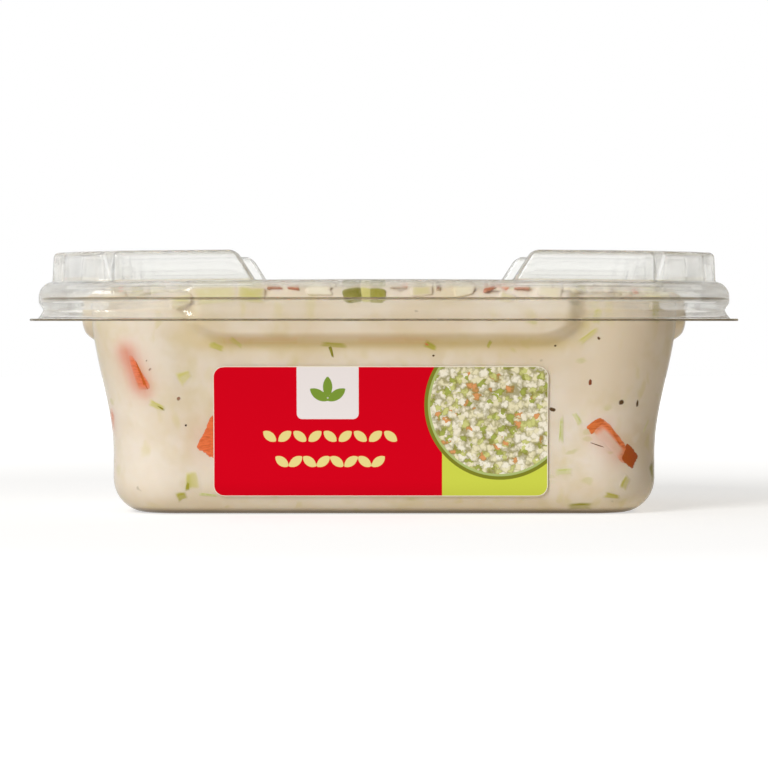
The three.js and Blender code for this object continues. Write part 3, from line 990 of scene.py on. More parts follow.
@dataclass
class Lug:
    """One stacking lug, in the corner where x and y are positive: two arms joined by a round corner."""

    pack: Pack
    top: float = 56.2
    face: float = 4.9
    thickness: float = 11.8
    corner_cut: float = 18.9
    step: float = 2.3
    long_end: float = 48.6
    short_end: float = 43.0
    end_slope: float = 3.7
    draft: float = 0.35
    edge: float = 1.2
    foot_fillet: float = 0.35
    corner_round: float = 1.1
    inner_round: float = 0.9
    gusset: Pair = (0.4, 2.7)
    flare_round: float = 0.35
    follow: Pair = (0.2, 2.5)
    arc_points: int = 12
    corner_points: int = 6
    rows: tuple[int, int, int] = (5, 4, 7)
    longest_edge: float = 3.0

    def outline(self, shrink: Array, rise: Array) -> Array:
        """The lug's outline, counterclockwise, at several heights.

        Each corner is a parabola between two points at its radius from the corner, and the stretches
        between them are straight, apart from the quarter circle of the round corner.

        Args:
            shrink: How far each outline lies inside the lug's outer face.
            rise: Each outline's height as a share of the lug's height.

        Returns:
            Plan points, shaped (rows, stations, 2).
        """
        half_x, half_y = self.pack.half_length, self.pack.half_width
        lean = self.end_slope * rise
        face_x, face_y = half_x - self.face - shrink, half_y - self.face - shrink
        deep = self.face + self.thickness - shrink
        inner_x, inner_y = half_x - deep, half_y - deep
        cut_x, cut_y = half_x - self.corner_cut - shrink, half_y - self.corner_cut - shrink
        end_x = half_x - self.long_end + shrink + lean
        end_y = half_y - self.short_end + shrink + lean
        radius = self.corner_cut - self.face - self.step
        flare = self.gusset[0] + (self.gusset[1] - self.gusset[0]) * np.clip(rise, 0, 1)
        first = np.arcsin(flare / radius)
        angle = first[:, None] + (math.pi / 2 - 2 * first)[:, None] * np.linspace(0, 1, self.arc_points)
        arc_x = cut_x[:, None] + radius * np.cos(angle)
        arc_y = cut_y[:, None] + radius * np.sin(angle)
        arc = np.stack([arc_x, arc_y], axis=-1)
        corners = [
            (end_x, inner_y, True),
            (inner_x, inner_y, False),
            (inner_x, end_y, True),
            (face_x, end_y, True),
            (face_x, cut_y, True),
            (arc[:, 0, 0], arc[:, 0, 1], False),
            (arc[:, -1, 0], arc[:, -1, 1], False),
            (cut_x, face_y, True),
            (end_x, face_y, True),
        ]
        places = [np.stack([x, y], axis=-1) for x, y, _ in corners]
        before_arc, after_arc = 5, 6
        pieces = []
        for i, (_, _, convex) in enumerate(corners):
            back = arc[:, -2] if i == after_arc else places[i - 1]
            ahead = arc[:, 1] if i == before_arc else places[(i + 1) % len(places)]
            size = np.maximum(self.corner_round - shrink, 0.1) if convex else self.inner_round + shrink
            if i in (before_arc, after_arc):
                size = np.full_like(shrink, self.flare_round)
            pieces.append(self.round_corner(back, places[i], ahead, size))
            if i == before_arc:
                pieces.append(arc[:, 1:-1])
        joined = []
        for i, piece in enumerate(pieces):
            joined.append(piece)
            start, end = piece[:, -1], pieces[(i + 1) % len(pieces)][:, 0]
            count = int(np.linalg.norm(start[0] - end[0]) // self.longest_edge)
            share = np.arange(1, count + 1)[None, :, None] / (count + 1)
            joined.append(start[:, None] * (1 - share) + end[:, None] * share)
        return np.concatenate(joined, axis=1)

    def round_corner(self, back: Array, corner: Array, ahead: Array, size: Array) -> Array:
        """A corner as a parabola that leaves both its sides at size from the corner.

        Args:
            back: The point before the corner, for each row.
            corner: The corner.
            ahead: The point after it.
            size: The distance.

        Returns:
            Plan points, shaped (rows, corner_points, 2).
        """
        to_back, to_ahead = back - corner, ahead - corner
        reach_back = np.linalg.norm(to_back, axis=-1, keepdims=True)
        reach_ahead = np.linalg.norm(to_ahead, axis=-1, keepdims=True)
        most = 0.45
        leave = corner + to_back / reach_back * np.minimum(size[:, None], most * reach_back)
        join = corner + to_ahead / reach_ahead * np.minimum(size[:, None], most * reach_ahead)
        t = np.linspace(0, 1, self.corner_points)[None, :, None]
        return (1 - t) ** 2 * leave[:, None] + 2 * t * (1 - t) * corner[:, None] + t**2 * join[:, None]

    def rings(self, depth: float, floor: HeightAt) -> Array:
        """The lug's surface from its foot fillet to the edge of its flat top.

        The side view is a quarter circle at the foot, a straight side and a quarter circle at the top.

        Args:
            depth: 0 for the outer face and the sheet's thickness for the inner one.
            floor: A function of x and y that gives the panel's height there.

        Returns:
            Points, shaped (rows, stations, 3).
        """
        foot_z, top_z = self.pack.panel_height, self.top
        foot_rows, side_rows, top_rows = self.rows
        turn = np.linspace(0, math.pi / 2, foot_rows)
        foot_in = -self.foot_fillet + (self.foot_fillet + depth) * np.sin(turn)
        foot_up = self.foot_fillet - (self.foot_fillet + depth) * np.cos(turn)
        turn = np.linspace(0, math.pi / 2, top_rows)
        top_in = self.edge - (self.edge - depth) * np.cos(turn)
        top_up = top_z - foot_z - self.edge + (self.edge - depth) * np.sin(turn)
        side_up = np.linspace(foot_up[-1], top_up[0], side_rows + 2)[1:-1]
        shrink = np.concatenate([foot_in, np.full(side_rows, depth), top_in])
        up = np.concatenate([foot_up, side_up, top_up])
        rise = up / (top_z - foot_z)
        flat = self.outline(shrink + self.draft * np.clip(rise, 0, 1), rise)
        ground = floor(flat[..., 0], flat[..., 1])
        follow = 1 - smoothstep(up, *self.follow)[:, None]
        z = foot_z + up[:, None] + (ground - foot_z) * follow
        return np.concatenate([flat, z[..., None]], axis=-1)


@dataclass
class Lid:
    """The clear lid: flange, skirt with a groove at each corner, bead, bowed panel and four lugs."""

    pack: Pack
    flange_height: float = 41.5
    skirt_inset: float = 1.95
    undercut: float = 1.05
    groove_height: float = 43.8
    groove_half: float = 1.65
    plain_half: Pair = (42.0, 20.0)
    plain_ramp: float = 2.6
    shoulder: Pair = (3.15, 3.25)
    plain_shoulder: Pair = (2.2, 1.7)
    edge_inset: float = 4.2
    bow_from: float = 47.0
    heel: float = 0.35
    groove_rows: int = 22
    stations: tuple[int, int, int] = (118, 62, 20)

    def plain_share(self, stations: Stations) -> Array:
        """1 on the stretches of skirt between the corners, easing to 0 at their ends.

        Args:
            stations: Places round the lid.

        Returns:
            A share for each station.
        """
        half = np.array([self.pack.half_length, self.pack.half_width])
        at = np.abs(stations.anchor) * (half - self.pack.flange_radius)
        on_long = np.abs(stations.outward[:, 1]) > 0.999
        on_short = np.abs(stations.outward[:, 0]) > 0.999
        room_long = np.where(on_long, self.plain_half[0] - at[:, 0], -1.0)
        room_short = np.where(on_short, self.plain_half[1] - at[:, 1], -1.0)
        return smoothstep(np.maximum(room_long, room_short), 0, self.plain_ramp)

    def panel_level(self, x: Array, y: Array) -> Array:
        """Height of the panel's upper face before it is bowed: level, and falling over the shoulder.

        Args:
            x: Places along X.
            y: Places along Y.

        Returns:
            The height at each place.
        """
        half = np.array([self.pack.half_length, self.pack.half_width])
        radius = self.pack.flange_radius
        dx = np.maximum(np.abs(x) - (half[0] - radius), 0)
        dy = np.maximum(np.abs(y) - (half[1] - radius), 0)
        inset = radius - np.hypot(dx, dy)
        outside = np.minimum(half[0] - np.abs(x), half[1] - np.abs(y))
        inset = np.where((dx > 0) & (dy > 0), inset, outside)
        wide, high = self.shoulder
        run = np.clip((self.skirt_inset + wide - inset) / wide, 0, 1)
        return self.pack.panel_height - high * (1 - np.sqrt(1 - run**2))

    def outer_face(self, stations: Stations) -> Array:
        """The flange's top, the skirt and the shoulder, as rings from the flange's edge inwards.

        The groove is a rounded V and the shoulder a quarter ellipse. The plain stretches between the
        corners have no groove and a smaller shoulder.

        Args:
            stations: Places round each ring.

        Returns:
            Points, shaped (rows, stations, 3).
        """
        pack = self.pack
        top = self.flange_height + pack.wall
        plain = self.plain_share(stations)
        shelf_in = np.linspace(pack.wall / 2, self.skirt_inset - self.heel, 4)
        turn = np.linspace(0, math.pi / 2, 5)[1:]
        heel_in = self.skirt_inset - self.heel + self.heel * np.sin(turn)
        heel_z = top + self.heel - self.heel * np.cos(turn)
        wide, high = self.shoulder
        bead_top = pack.panel_height - high
        groove_z = np.linspace(top + 0.45, bead_top - 0.3, self.groove_rows)
        v = 1 - np.abs(groove_z - self.groove_height) / self.groove_half
        groove = self.undercut * smooth_least(np.maximum(v, 0), np.full_like(v, 0.95), 0.25)
        groove = np.maximum(groove, 0)
        corner_in = np.concatenate([shelf_in, heel_in, self.skirt_inset + groove])
        plain_in = np.concatenate([shelf_in, heel_in, np.full(self.groove_rows, self.skirt_inset)])
        low_z = np.concatenate([np.full(4, top), heel_z, groove_z])
        inset = corner_in[:, None] + (plain_in - corner_in)[:, None] * plain
        z = np.broadcast_to(low_z[:, None], inset.shape)
        last = math.acos((self.skirt_inset + wide - self.edge_inset) / wide)
        turn = np.linspace(0, last, 14)[:, None]
        corner_arc = self.skirt_inset + wide * (1 - np.cos(turn)), bead_top + high * np.sin(turn)
        wide, high = self.plain_shoulder
        share = turn / last * math.pi / 2
        plain_arc = (
            self.skirt_inset + wide * (1 - np.cos(share)),
            pack.panel_height - high + high * np.sin(share),
        )
        arc_in, arc_z = (a + (b - a) * plain for a, b in zip(corner_arc, plain_arc, strict=True))
        inset = np.concatenate([inset, arc_in])
        z = np.concatenate([z, arc_z])
        return pack.rings(stations, inset, pack.flange_radius - inset, z)

    def bowed(self, points: Array) -> Array:
        """The same points with the panel's bow, which fades out down the skirt.

        Args:
            points: Shaped (..., 3).

        Returns:
            Points of the same shape.
        """
        share = smoothstep(points[..., 2], self.bow_from, self.pack.panel_height - self.pack.wall)
        rise = share * self.pack.bow(points[..., 0], points[..., 1])
        return points + np.stack([np.zeros_like(rise), np.zeros_like(rise), rise], axis=-1)

    def add_top(self, shape: Shape, edge: Array, depth: float) -> None:
        """Fills the lid inside a ring with the panel and the four lugs.

        Args:
            shape: Where the points and faces go.
            edge: Indexes of the ring.
            depth: 0 for the upper face and the sheet's thickness for the lower one.
        """
        lug = Lug(self.pack)
        rings = lug.rings(depth, self.panel_level)
        feet = []
        for sign_x, sign_y in ((1, 1), (-1, 1), (-1, -1), (1, -1)):
            mirrored = rings * np.array([sign_x, sign_y, 1])
            if sign_x * sign_y < 0:
                mirrored = mirrored[:, ::-1]
            index = shape.add_points(self.bowed(mirrored))
            shape.add_quads(index if depth == 0 else index[::-1])
            top = float(rings[-1, 0, 2])
            shape.add_fill([index[-1]], 4.0, lambda x, y, top=top: top + self.pack.bow(x, y))
            feet.append(index[0])
        level = self.pack.panel_height - depth
        shape.add_fill([edge, *feet], 3.0, lambda x, y: level + self.pack.bow(x, y))

    def build(self, material: Material) -> None:
        """Makes the lid as a closed sheet.

        Args:
            material: The sheet's material.
        """
        stations = Stations.make(*self.stations)
        outer = self.outer_face(stations)
        inner = outer - self.pack.wall * grid_normals(outer)
        shape = Shape()
        outside = shape.add_points(self.bowed(outer))
        inside = shape.add_points(self.bowed(inner))
        shape.add_quads(outside)
        shape.add_quads(inside[::-1])
        self.add_top(shape, outside[-1], 0.0)
        self.add_top(shape, inside[-1], self.pack.wall)
        rim = add_round_rim(shape, inside[0], outside[0])
        drawn = np.zeros(len(rim))
        z = outer[..., 2]
        deep = smoothstep(z, self.flange_height + 1, self.groove_height)
        drawn[outside.ravel()] = ((1 - self.plain_share(stations)) * deep).ravel()
        lid = shape.build("lid_sheet", material, Slot.LID, {"rim": rim, "drawn": drawn})
        face_outwards(lid)
        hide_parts("lid")


def face_outwards(piece: Object) -> None:
    """Turns the faces of a closed mesh so that all point out of it.

    Args:
        piece: The piece.
    """
    work = bmesh.new()
    work.from_mesh(piece.data)
    bmesh.ops.recalc_face_normals(work, faces=work.faces)
    work.to_mesh(piece.data)
    work.free()


# The coleslaw


class Veg(Enum):
    """What the coleslaw is chopped from."""

    CABBAGE = "cabbage"
    SHRED = "shred"
    CARROT = "carrot"
    PEPPER = "pepper"
    SPICE = "spice"


@dataclass(frozen=True)
class Pressed:
    """A piece pressed against a wall: its middle, size and slant, seen from outside.

    Film is the dressing over its middle, fade the dressing over its lower long side, soft the
    dressing over its outline, and taper how much narrower its far end is.
    """

    veg: Veg
    across: float
    z: float
    length: float
    width: float
    slant: float = 0.0
    tone: float = 0.5
    film: float = 0.0
    fade: float = 0.0
    soft: float = 0.55
    taper: float | None = None
    wall: Wall = Wall.FRONT


@dataclass(frozen=True)
class Stain:
    """A patch of dressing that a sunk carrot piece has stained: its middle, size and slant."""

    across: float
    z: float
    length: float
    width: float
    slant: float
    strength: float
    wall: Wall = Wall.FRONT


FRONT_PIECES = (
    Pressed(Veg.CARROT, -52.7, 30.4, 8.6, 2.3, -65, 0.1, fade=0.4, soft=0.5, taper=-0.5),
    Pressed(Veg.CARROT, -51.9, 29.9, 6.8, 0.9, -67, 0.85, soft=0.15, taper=-0.7),
    Pressed(Veg.CARROT, -35.9, 16.9, 9.8, 6.2, 61, 0.15, soft=0.12, taper=0.0),
    Pressed(Veg.CARROT, 48.9, 15.9, 11.4, 4.0, -46, 0.3, 0.95, 0.3, soft=0.25, taper=0.0),
    Pressed(Veg.CARROT, 45.3, 19.3, 4.4, 2.0, 38, 0.6, soft=0.1, taper=0.2),
    Pressed(Veg.CARROT, 49.9, 16.2, 6.4, 0.9, -56, 0.6, soft=0.3, taper=0.0),
    Pressed(Veg.CARROT, 52.8, 12.5, 5.0, 4.0, -36, 1.0, soft=0.1, taper=0.0),
    Pressed(Veg.PEPPER, -42.5, 29.6, 3.6, 3.0, 30, 1.0, 0.4, soft=0.9, taper=0.5),
    Pressed(Veg.PEPPER, -48.6, 23.4, 4.4, 1.7, -25, 0.95, 0.2, soft=0.9),
    Pressed(Veg.PEPPER, -48.0, 23.1, 3.2, 0.7, -28, 0.2, soft=0.8),
    Pressed(Veg.PEPPER, -41.0, 7.4, 4.9, 3.6, 95, 0.85, 0.1, 0.3, soft=0.85, taper=0.25),
    Pressed(Veg.PEPPER, -41.9, 6.3, 2.6, 1.1, 80, 0.45, soft=0.8),
    Pressed(Veg.PEPPER, -43.3, 3.9, 2.6, 2.2, 20, 0.5, 0.2, soft=0.85),
    Pressed(Veg.SHRED, -37.6, 4.2, 4.4, 0.8, -6, 1.0, 0.4, soft=0.8),
    Pressed(Veg.PEPPER, -35.7, 36.0, 3.8, 1.8, -20, 0.75, 0.2, soft=0.95),
    Pressed(Veg.PEPPER, -10.6, 36.3, 6.6, 1.3, -4, 0.55, 0.3, soft=0.95),
    Pressed(Veg.PEPPER, -11.2, 35.0, 3.0, 0.7, -75, 0.1, soft=0.5),
    Pressed(Veg.PEPPER, 9.9, 36.1, 3.4, 1.6, -25, 0.6, 0.1, soft=0.9),
    Pressed(Veg.CARROT, 9.4, 36.3, 2.0, 0.7, -15, 0.5, 0.1, soft=0.9),
    Pressed(Veg.PEPPER, 22.4, 36.5, 2.0, 1.0, 60, 0.6, 0.2, soft=0.95),
    Pressed(Veg.PEPPER, -31.5, 36.8, 4.0, 1.4, -35, 0.95, 0.4, soft=1.0),
    Pressed(Veg.PEPPER, 43.6, 38.4, 6.0, 1.6, 38, 0.95, 0.4, soft=1.0),
    Pressed(Veg.PEPPER, 45.4, 42.6, 4.4, 2.4, 70, 0.9, 0.4, soft=1.0),
    Pressed(Veg.PEPPER, 58.2, 43.4, 5.0, 2.8, 84, 0.55, 0.3, soft=0.9),
    Pressed(Veg.SHRED, 37.9, 18.4, 6.6, 1.2, 88, 1.0, 0.4, soft=0.95),
    Pressed(Veg.SHRED, 41.2, 20.6, 3.4, 1.5, -60, 0.95, 0.5, soft=0.95),
    Pressed(Veg.SHRED, 38.4, 9.3, 4.2, 1.8, 4, 0.95, 0.5, soft=0.95),
    Pressed(Veg.PEPPER, 51.8, 6.8, 3.6, 2.4, 60, 0.7, 0.4, soft=0.95),
    Pressed(Veg.PEPPER, 49.0, 3.9, 4.4, 1.4, -12, 0.6, 0.2, soft=0.9),
    Pressed(Veg.PEPPER, 42.0, 1.6, 6.5, 2.0, 2, 0.3, 0.4, soft=0.95),
    Pressed(Veg.SPICE, 45.6, 15.0, 3.6, 0.22, -18, 0.6, soft=0.3),
    Pressed(Veg.SPICE, 43.9, 28.4, 1.5, 0.75, 86, 0.9, soft=0.3),
    Pressed(Veg.SPICE, 50.8, 24.1, 1.4, 1.25, 10, 0.35, soft=0.6),
    Pressed(Veg.SPICE, 54.4, 23.8, 1.7, 0.8, 84, 0.35, soft=0.6),
    Pressed(Veg.SPICE, 35.9, 22.6, 1.6, 1.0, -20, 0.3, soft=0.6),
    Pressed(Veg.SPICE, 45.6, 37.8, 0.8, 0.6, -40, 0.4, soft=0.4),
    Pressed(Veg.SPICE, 36.4, 36.2, 0.6, 0.5, 0, 0.2),
    Pressed(Veg.SPICE, 10.5, 34.1, 0.6, 0.5, 0, 0.2),
    Pressed(Veg.SPICE, -43.8, 24.9, 1.0, 0.9, 30, 0.8, 0.2, soft=0.7),
    Pressed(Veg.SPICE, -42.3, 19.2, 0.5, 0.5, 0, 0.0, soft=0.2),
    Pressed(Veg.SPICE, -49.9, 31.1, 0.9, 0.6, 50, 0.8, 0.5, soft=0.9),
    Pressed(Veg.SPICE, -50.6, 33.0, 0.5, 0.4, 50, 0.5, 0.4, soft=0.9),
)
FRONT_STAINS = (
    Stain(-53.8, 31.4, 11.0, 4.6, -64, 0.8),
    Stain(-51.2, 26.4, 3.6, 2.6, -40, 0.35),
    Stain(-37.6, 16.0, 6.0, 7.4, 62, 0.22),
    Stain(48.4, 15.6, 10.5, 4.6, -46, 0.4),
)


@dataclass(frozen=True)
class Perched:
    """A piece on the front of the heap, behind the lid's skirt: its middle, length, height and slant."""

    veg: Veg
    across: float
    z: float
    length: float
    height: float
    slant: float = 0.0
    tone: float = 0.5
    film: float = 0.0
    soft: float = 0.8


PERCHED_PIECES = (
    Perched(Veg.PEPPER, -6.5, 46.1, 4.2, 4.6, 12, 0.0, soft=0.1),
    Perched(Veg.PEPPER, -3.8, 46.5, 2.2, 4.0, 6, 1.0, soft=0.1),
    Perched(Veg.PEPPER, -1.4, 46.6, 3.6, 3.8, -4, 0.25, soft=0.1),
    Perched(Veg.PEPPER, -28.2, 47.2, 6.2, 3.4, -8, 0.9, 0.1),
    Perched(Veg.CABBAGE, -35.5, 46.9, 9.6, 4.0, 6, 0.8, 0.2),
    Perched(Veg.CARROT, -23.2, 48.6, 3.2, 0.7, 0, 1.0, 0.1, 0.2),
    Perched(Veg.CARROT, -19.3, 48.4, 2.6, 0.8, -8, 1.0, 0.1, 0.2),
    Perched(Veg.CABBAGE, -13.6, 48.0, 5.6, 2.2, 0, 0.1),
    Perched(Veg.SPICE, 3.2, 48.6, 3.6, 0.28, 0, 0.8),
    Perched(Veg.PEPPER, 7.8, 47.8, 4.6, 2.3, 4, 0.9, 0.4),
    Perched(Veg.SPICE, 11.5, 48.5, 0.9, 1.1, 0, 0.9),
    Perched(Veg.CARROT, 22.3, 48.3, 2.8, 0.9, 28, 1.0, 0.1, 0.2),
    Perched(Veg.CARROT, 29.2, 48.5, 3.4, 0.5, 0, 0.9, 0.2, 0.2),
    Perched(Veg.PEPPER, 25.9, 46.4, 3.2, 2.2, -20, 0.95, 0.5),
    Perched(Veg.CABBAGE, 17.0, 47.9, 4.6, 2.4, 10, 0.3, 0.1),
    Perched(Veg.CABBAGE, 35.0, 47.6, 5.2, 2.6, -8, 0.5, 0.2),
    Perched(Veg.CABBAGE, -43.0, 45.9, 4.6, 2.2, 10, 0.8, 0.2),
)


@dataclass
class Heap:
    """Many chopped pieces of one kind, gathered as one mesh with a tone and a film for each point."""

    shape: Shape = field(default_factory=Shape)
    tones: list[Array] = field(default_factory=list)
    films: list[Array] = field(default_factory=list)

    def add(self, points: Array, faces: Array, tone: Array, film: Array) -> None:
        """Adds pieces that share one set of faces.

        Args:
            points: Shaped (pieces, points, 3).
            faces: One piece's faces, shaped (n, 3).
            tone: Each piece's tone.
            film: Each point's share of dressing over the vegetable, shaped (pieces, points).
        """
        index = self.shape.add_points(points)
        self.shape.faces += index[:, faces].reshape(-1, 3).tolist()
        self.tones.append(np.repeat(tone, points.shape[1]))
        self.films.append(film.ravel())

    def build(self, name: str, material: Material, marks: dict[str, Array]) -> None:
        """Makes the object from all pieces so far, with the dressing's own marks at each point."""
        values = {"tone": np.concatenate(self.tones), "film": np.concatenate(self.films), **marks}
        self.shape.build(name, material, Slot.COLESLAW, values, sharp=60)


@dataclass
class Coleslaw:
    """The coleslaw: dressing pressed smooth by the tub, chopped pieces at its walls and a heaped top."""

    pack: Pack
    tub: Tub
    into_wall: float = 0.2
    into_fillet: float = 0.4
    below_lid: float = 1.7
    corner_drop: float = 3.4
    corner_from: Pair = (36.0, 12.0)
    corner_to: Pair = (56.0, 38.0)
    front_curve: float = 0.00123
    perch_depth: float = 0.62
    strewn_to: Pair = (43.0, 24.0)
    crumple: float = 0.35
    wave: Triple = (20.0, 17.0, 37.0)
    lid_gap: float = 0.12
    lump_count: int = 1500
    lump_height: float = 1.25
    lump_length: Pair = (1.8, 4.2)
    lump_aspect: Pair = (0.45, 0.9)
    lumps_at_once: int = 100
    ragged: float = 0.028
    seed: int = 20261
    stain_spread: float = 0.62
    painted_shade_shares: Triple = (0.75, 0.35, 0.2)
    rim_shares: tuple[float, ...] = (0.995, 0.985, 0.97, 0.955)
    rim_ease: tuple[float, ...] = (0.35, 0.68, 0.88, 0.97)
    top_shares: Pair = (0.943, 0.01)
    top_rows: int = 84
    piece_grid: tuple[int, int] = (72, 9)
    piece_powers: Pair = (2.4, 7.0)
    piece_skin: float = 0.05
    piece_depth: float = 0.9
    edge_sink: float = 0.09
    least_height: float = 0.6
    piece_waves: Pair = (0.01, 0.055)
    piece_taper: Pair = (-0.1, 0.4)
    perch_half: float = 0.6
    perch_waves: Pair = (0.02, 0.07)
    chip_waves: Pair = (0.04, 0.14)
    chip_taper: Pair = (-0.3, 0.3)
    chip_curl: Pair = (-0.28, 0.28)
    chip_bend: Pair = (-0.25, 0.25)
    chip_tilt: float = 0.34
    chip_room: float = 0.3

    def top(self, x: Array, y: Array) -> Array:
        """Height of the bare top: below the lid, lower in the corners, and wavy.

        Args:
            x: Places along X.
            y: Places along Y.

        Returns:
            The height at each place.
        """
        near_x = smoothstep(np.abs(x), self.corner_from[0], self.corner_to[0])
        near_y = smoothstep(np.abs(y), self.corner_from[1], self.corner_to[1])
        sway = np.sin(TURN * y / self.wave[2])
        waves = np.sin(TURN * x / self.wave[0] + sway) * np.cos(TURN * y / self.wave[1])
        drop = self.below_lid + self.corner_drop * near_x * near_y
        return self.pack.ceiling(x, y) - drop + self.crumple * waves

    def stain(self, points: Array) -> Array:
        """How much carrot has stained the dressing: a bell across a line along each stain.

        Args:
            points: Shaped (n, 3).

        Returns:
            A share from 0 to 1 for each point.
        """
        clean = np.ones(len(points))
        hidden = [
            Stain(p.across, p.z, p.length, 1.3 * p.width, p.slant, 0.3, p.wall)
            for p in self.pressed_pieces()
            if p.veg is Veg.CARROT and p.wall is not Wall.FRONT
        ]
        for patch in [*FRONT_STAINS, *hidden]:
            along = self.tub.along_from_middle(patch.wall, patch.across, patch.z)
            lean = math.radians(patch.slant)
            reach = np.linspace(-0.5, 0.5, 9) * max(patch.length - patch.width, 0.1)
            line = self.tub.on_wall(
                patch.wall, along + reach * math.cos(lean), patch.z + reach * math.sin(lean)
            )
            gap = np.sqrt(((points[:, None] - line[None]) ** 2).sum(axis=-1)).min(axis=1)
            clean *= 1 - patch.strength * bell(gap, self.stain_spread * patch.width)
        return 1 - clean

    def painted_shade(self, points: Array) -> Array:
        """How much painted shade a point gets: a bell over height under the shelf, a band at its ends and a
        bell near the base.

        Args:
            points: Shaped (n, 3).

        Returns:
            A share from 0 to 1 for each point.
        """
        z = points[:, 2]
        beside_x = self.tub.shelf_half[0] - np.abs(points[:, 0])
        beside_y = self.tub.shelf_half[1] - np.abs(points[:, 1])
        beside = np.maximum(beside_x, beside_y)
        # Painted shade at the shelf's ends, under the shelf, and near the base.
        end_at, end_width, end_rise = 1.5, 3.0, (35, 38)
        at_end = bell(beside - end_at, end_width) * smoothstep(z, *end_rise)
        above, shelf_width, shelf_rise = 1.0, 1.7, (-1.0, 8.0)
        under = bell(z - self.tub.shelf_foot - above, shelf_width) * smoothstep(beside, *shelf_rise)
        shelf_share, end_share, foot_share = self.painted_shade_shares
        lid_rise, foot_width = (42.5, 44.5), 3.2
        painted_shade = shelf_share * np.maximum(under, end_share * at_end) * (1 - smoothstep(z, *lid_rise))
        return np.maximum(painted_shade, foot_share * bell(z, foot_width))

    def marks(self, points: Array) -> dict[str, Array]:
        """Stain and painted shade at each point, by attribute name."""
        return {"stain": self.stain(points), "painted_shade": self.painted_shade(points)}

    def lumps(self, x: Array, y: Array) -> Array:
        """Height of the coated pieces that shape the heap's top: the highest of many flat domes.

        Args:
            x: Places along X.
            y: Places along Y.

        Returns:
            The height at each place.
        """
        random = np.random.default_rng(self.seed + 2)
        count = self.lump_count
        at_x = random.uniform(-1, 1, count) * self.pack.half_length
        at_y = random.uniform(-1, 1, count) * self.pack.half_width
        turn = random.uniform(0, math.pi, count)
        long = random.uniform(*self.lump_length, count)
        wide = long * random.uniform(*self.lump_aspect, count)
        high = random.uniform(0.5, 1.0, count) * self.lump_height
        total = np.zeros(x.shape)
        for start in range(0, count, self.lumps_at_once):
            part = slice(start, start + self.lumps_at_once)
            dx, dy = x[..., None] - at_x[part], y[..., None] - at_y[part]
            u = (dx * np.cos(turn[part]) + dy * np.sin(turn[part])) / long[part]
            v = (dy * np.cos(turn[part]) - dx * np.sin(turn[part])) / wide[part]
            dome = high[part] * np.sqrt(np.maximum(1 - (u * u + v * v) ** 1.5, 0))
            total = np.maximum(total, dome.max(axis=-1))
        return total

    def build_body(self, material: Material) -> None:
        """Makes the dressing: the tub's outer face moved in, and rings that shrink over the top.

        Args:
            material: The dressing's material.
        """
        outer = self.tub.outer_face(Stations.make(*self.tub.stations))
        moved = outer - (self.pack.wall - self.into_wall) * grid_normals(outer)
        rows = outer[:, 0, 2] <= self.pack.rim_height - self.tub.fillet + self.into_fillet
        rows[np.argmin(rows) :] = False
        sides = moved[rows]
        rim = sides[-1]
        shares = np.concatenate([self.rim_shares, np.linspace(*self.top_shares, self.top_rows)])
        flat = rim[None, :, :2] * shares[:, None, None]
        height = self.top(flat[..., 0], flat[..., 1]) + self.lumps(flat[..., 0], flat[..., 1])
        height = np.minimum(height, self.pack.ceiling(flat[..., 0], flat[..., 1]) - self.lid_gap)
        ease = np.array(self.rim_ease)[:, None]
        height[: len(ease)] = rim[:, 2] * (1 - ease) + height[: len(ease)] * ease
        top = np.concatenate([flat, height[..., None]], axis=-1)
        shape = Shape()
        index = shape.add_points(np.concatenate([sides, top]))
        shape.add_quads(index)
        base = self.tub.base_recess + self.pack.wall - self.into_wall
        shape.add_fan(index[0][::-1], np.array([0, 0, base]))
        shape.add_fan(index[-1], np.array([0, 0, float(self.top(np.zeros(1), np.zeros(1))[0])]))
        body = shape.build("dressing", material, Slot.COLESLAW, self.marks(shape.points()))
        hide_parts("coleslaw")

    def pressed_pieces(self) -> list[Pressed]:
        """The pieces at all four walls: those of the front, and a seeded spread on the others.

        Returns:
            The pieces.
        """
        random = np.random.default_rng(self.seed)
        pieces = list(FRONT_PIECES)
        corner_room, density, heights = 20, 1.7, (6, 34)
        kinds = (
            (Veg.CARROT, 0.09, (3.0, 9.0), (1.2, 4.2), (0.0, 0.5)),
            (Veg.PEPPER, 0.16, (2.0, 5.0), (0.9, 3.2), (0.0, 0.2)),
            (Veg.SHRED, 0.08, (3.0, 8.0), (0.7, 1.6), (0.0, 0.2)),
            (Veg.SPICE, 0.16, (0.6, 1.9), (0.5, 1.2), (0.0, 0.0)),
        )
        for wall in (Wall.RIGHT, Wall.BACK, Wall.LEFT):
            half = (self.pack.half_length, self.pack.half_width)[wall.value % 2] - corner_room
            for veg, share, length, width, film in kinds:
                for _ in range(round(share * half * density)):
                    long = random.uniform(*length)
                    across, z = random.uniform(-half, half), random.uniform(*heights)
                    wide = min(random.uniform(*width), long)
                    slant, tone = random.uniform(-90, 90), random.uniform(0, 1)
                    coat, fade = random.uniform(*film), random.uniform(*film)
                    pieces.append(Pressed(veg, across, z, long, wide, slant, tone, coat, fade, wall=wall))
        return pieces

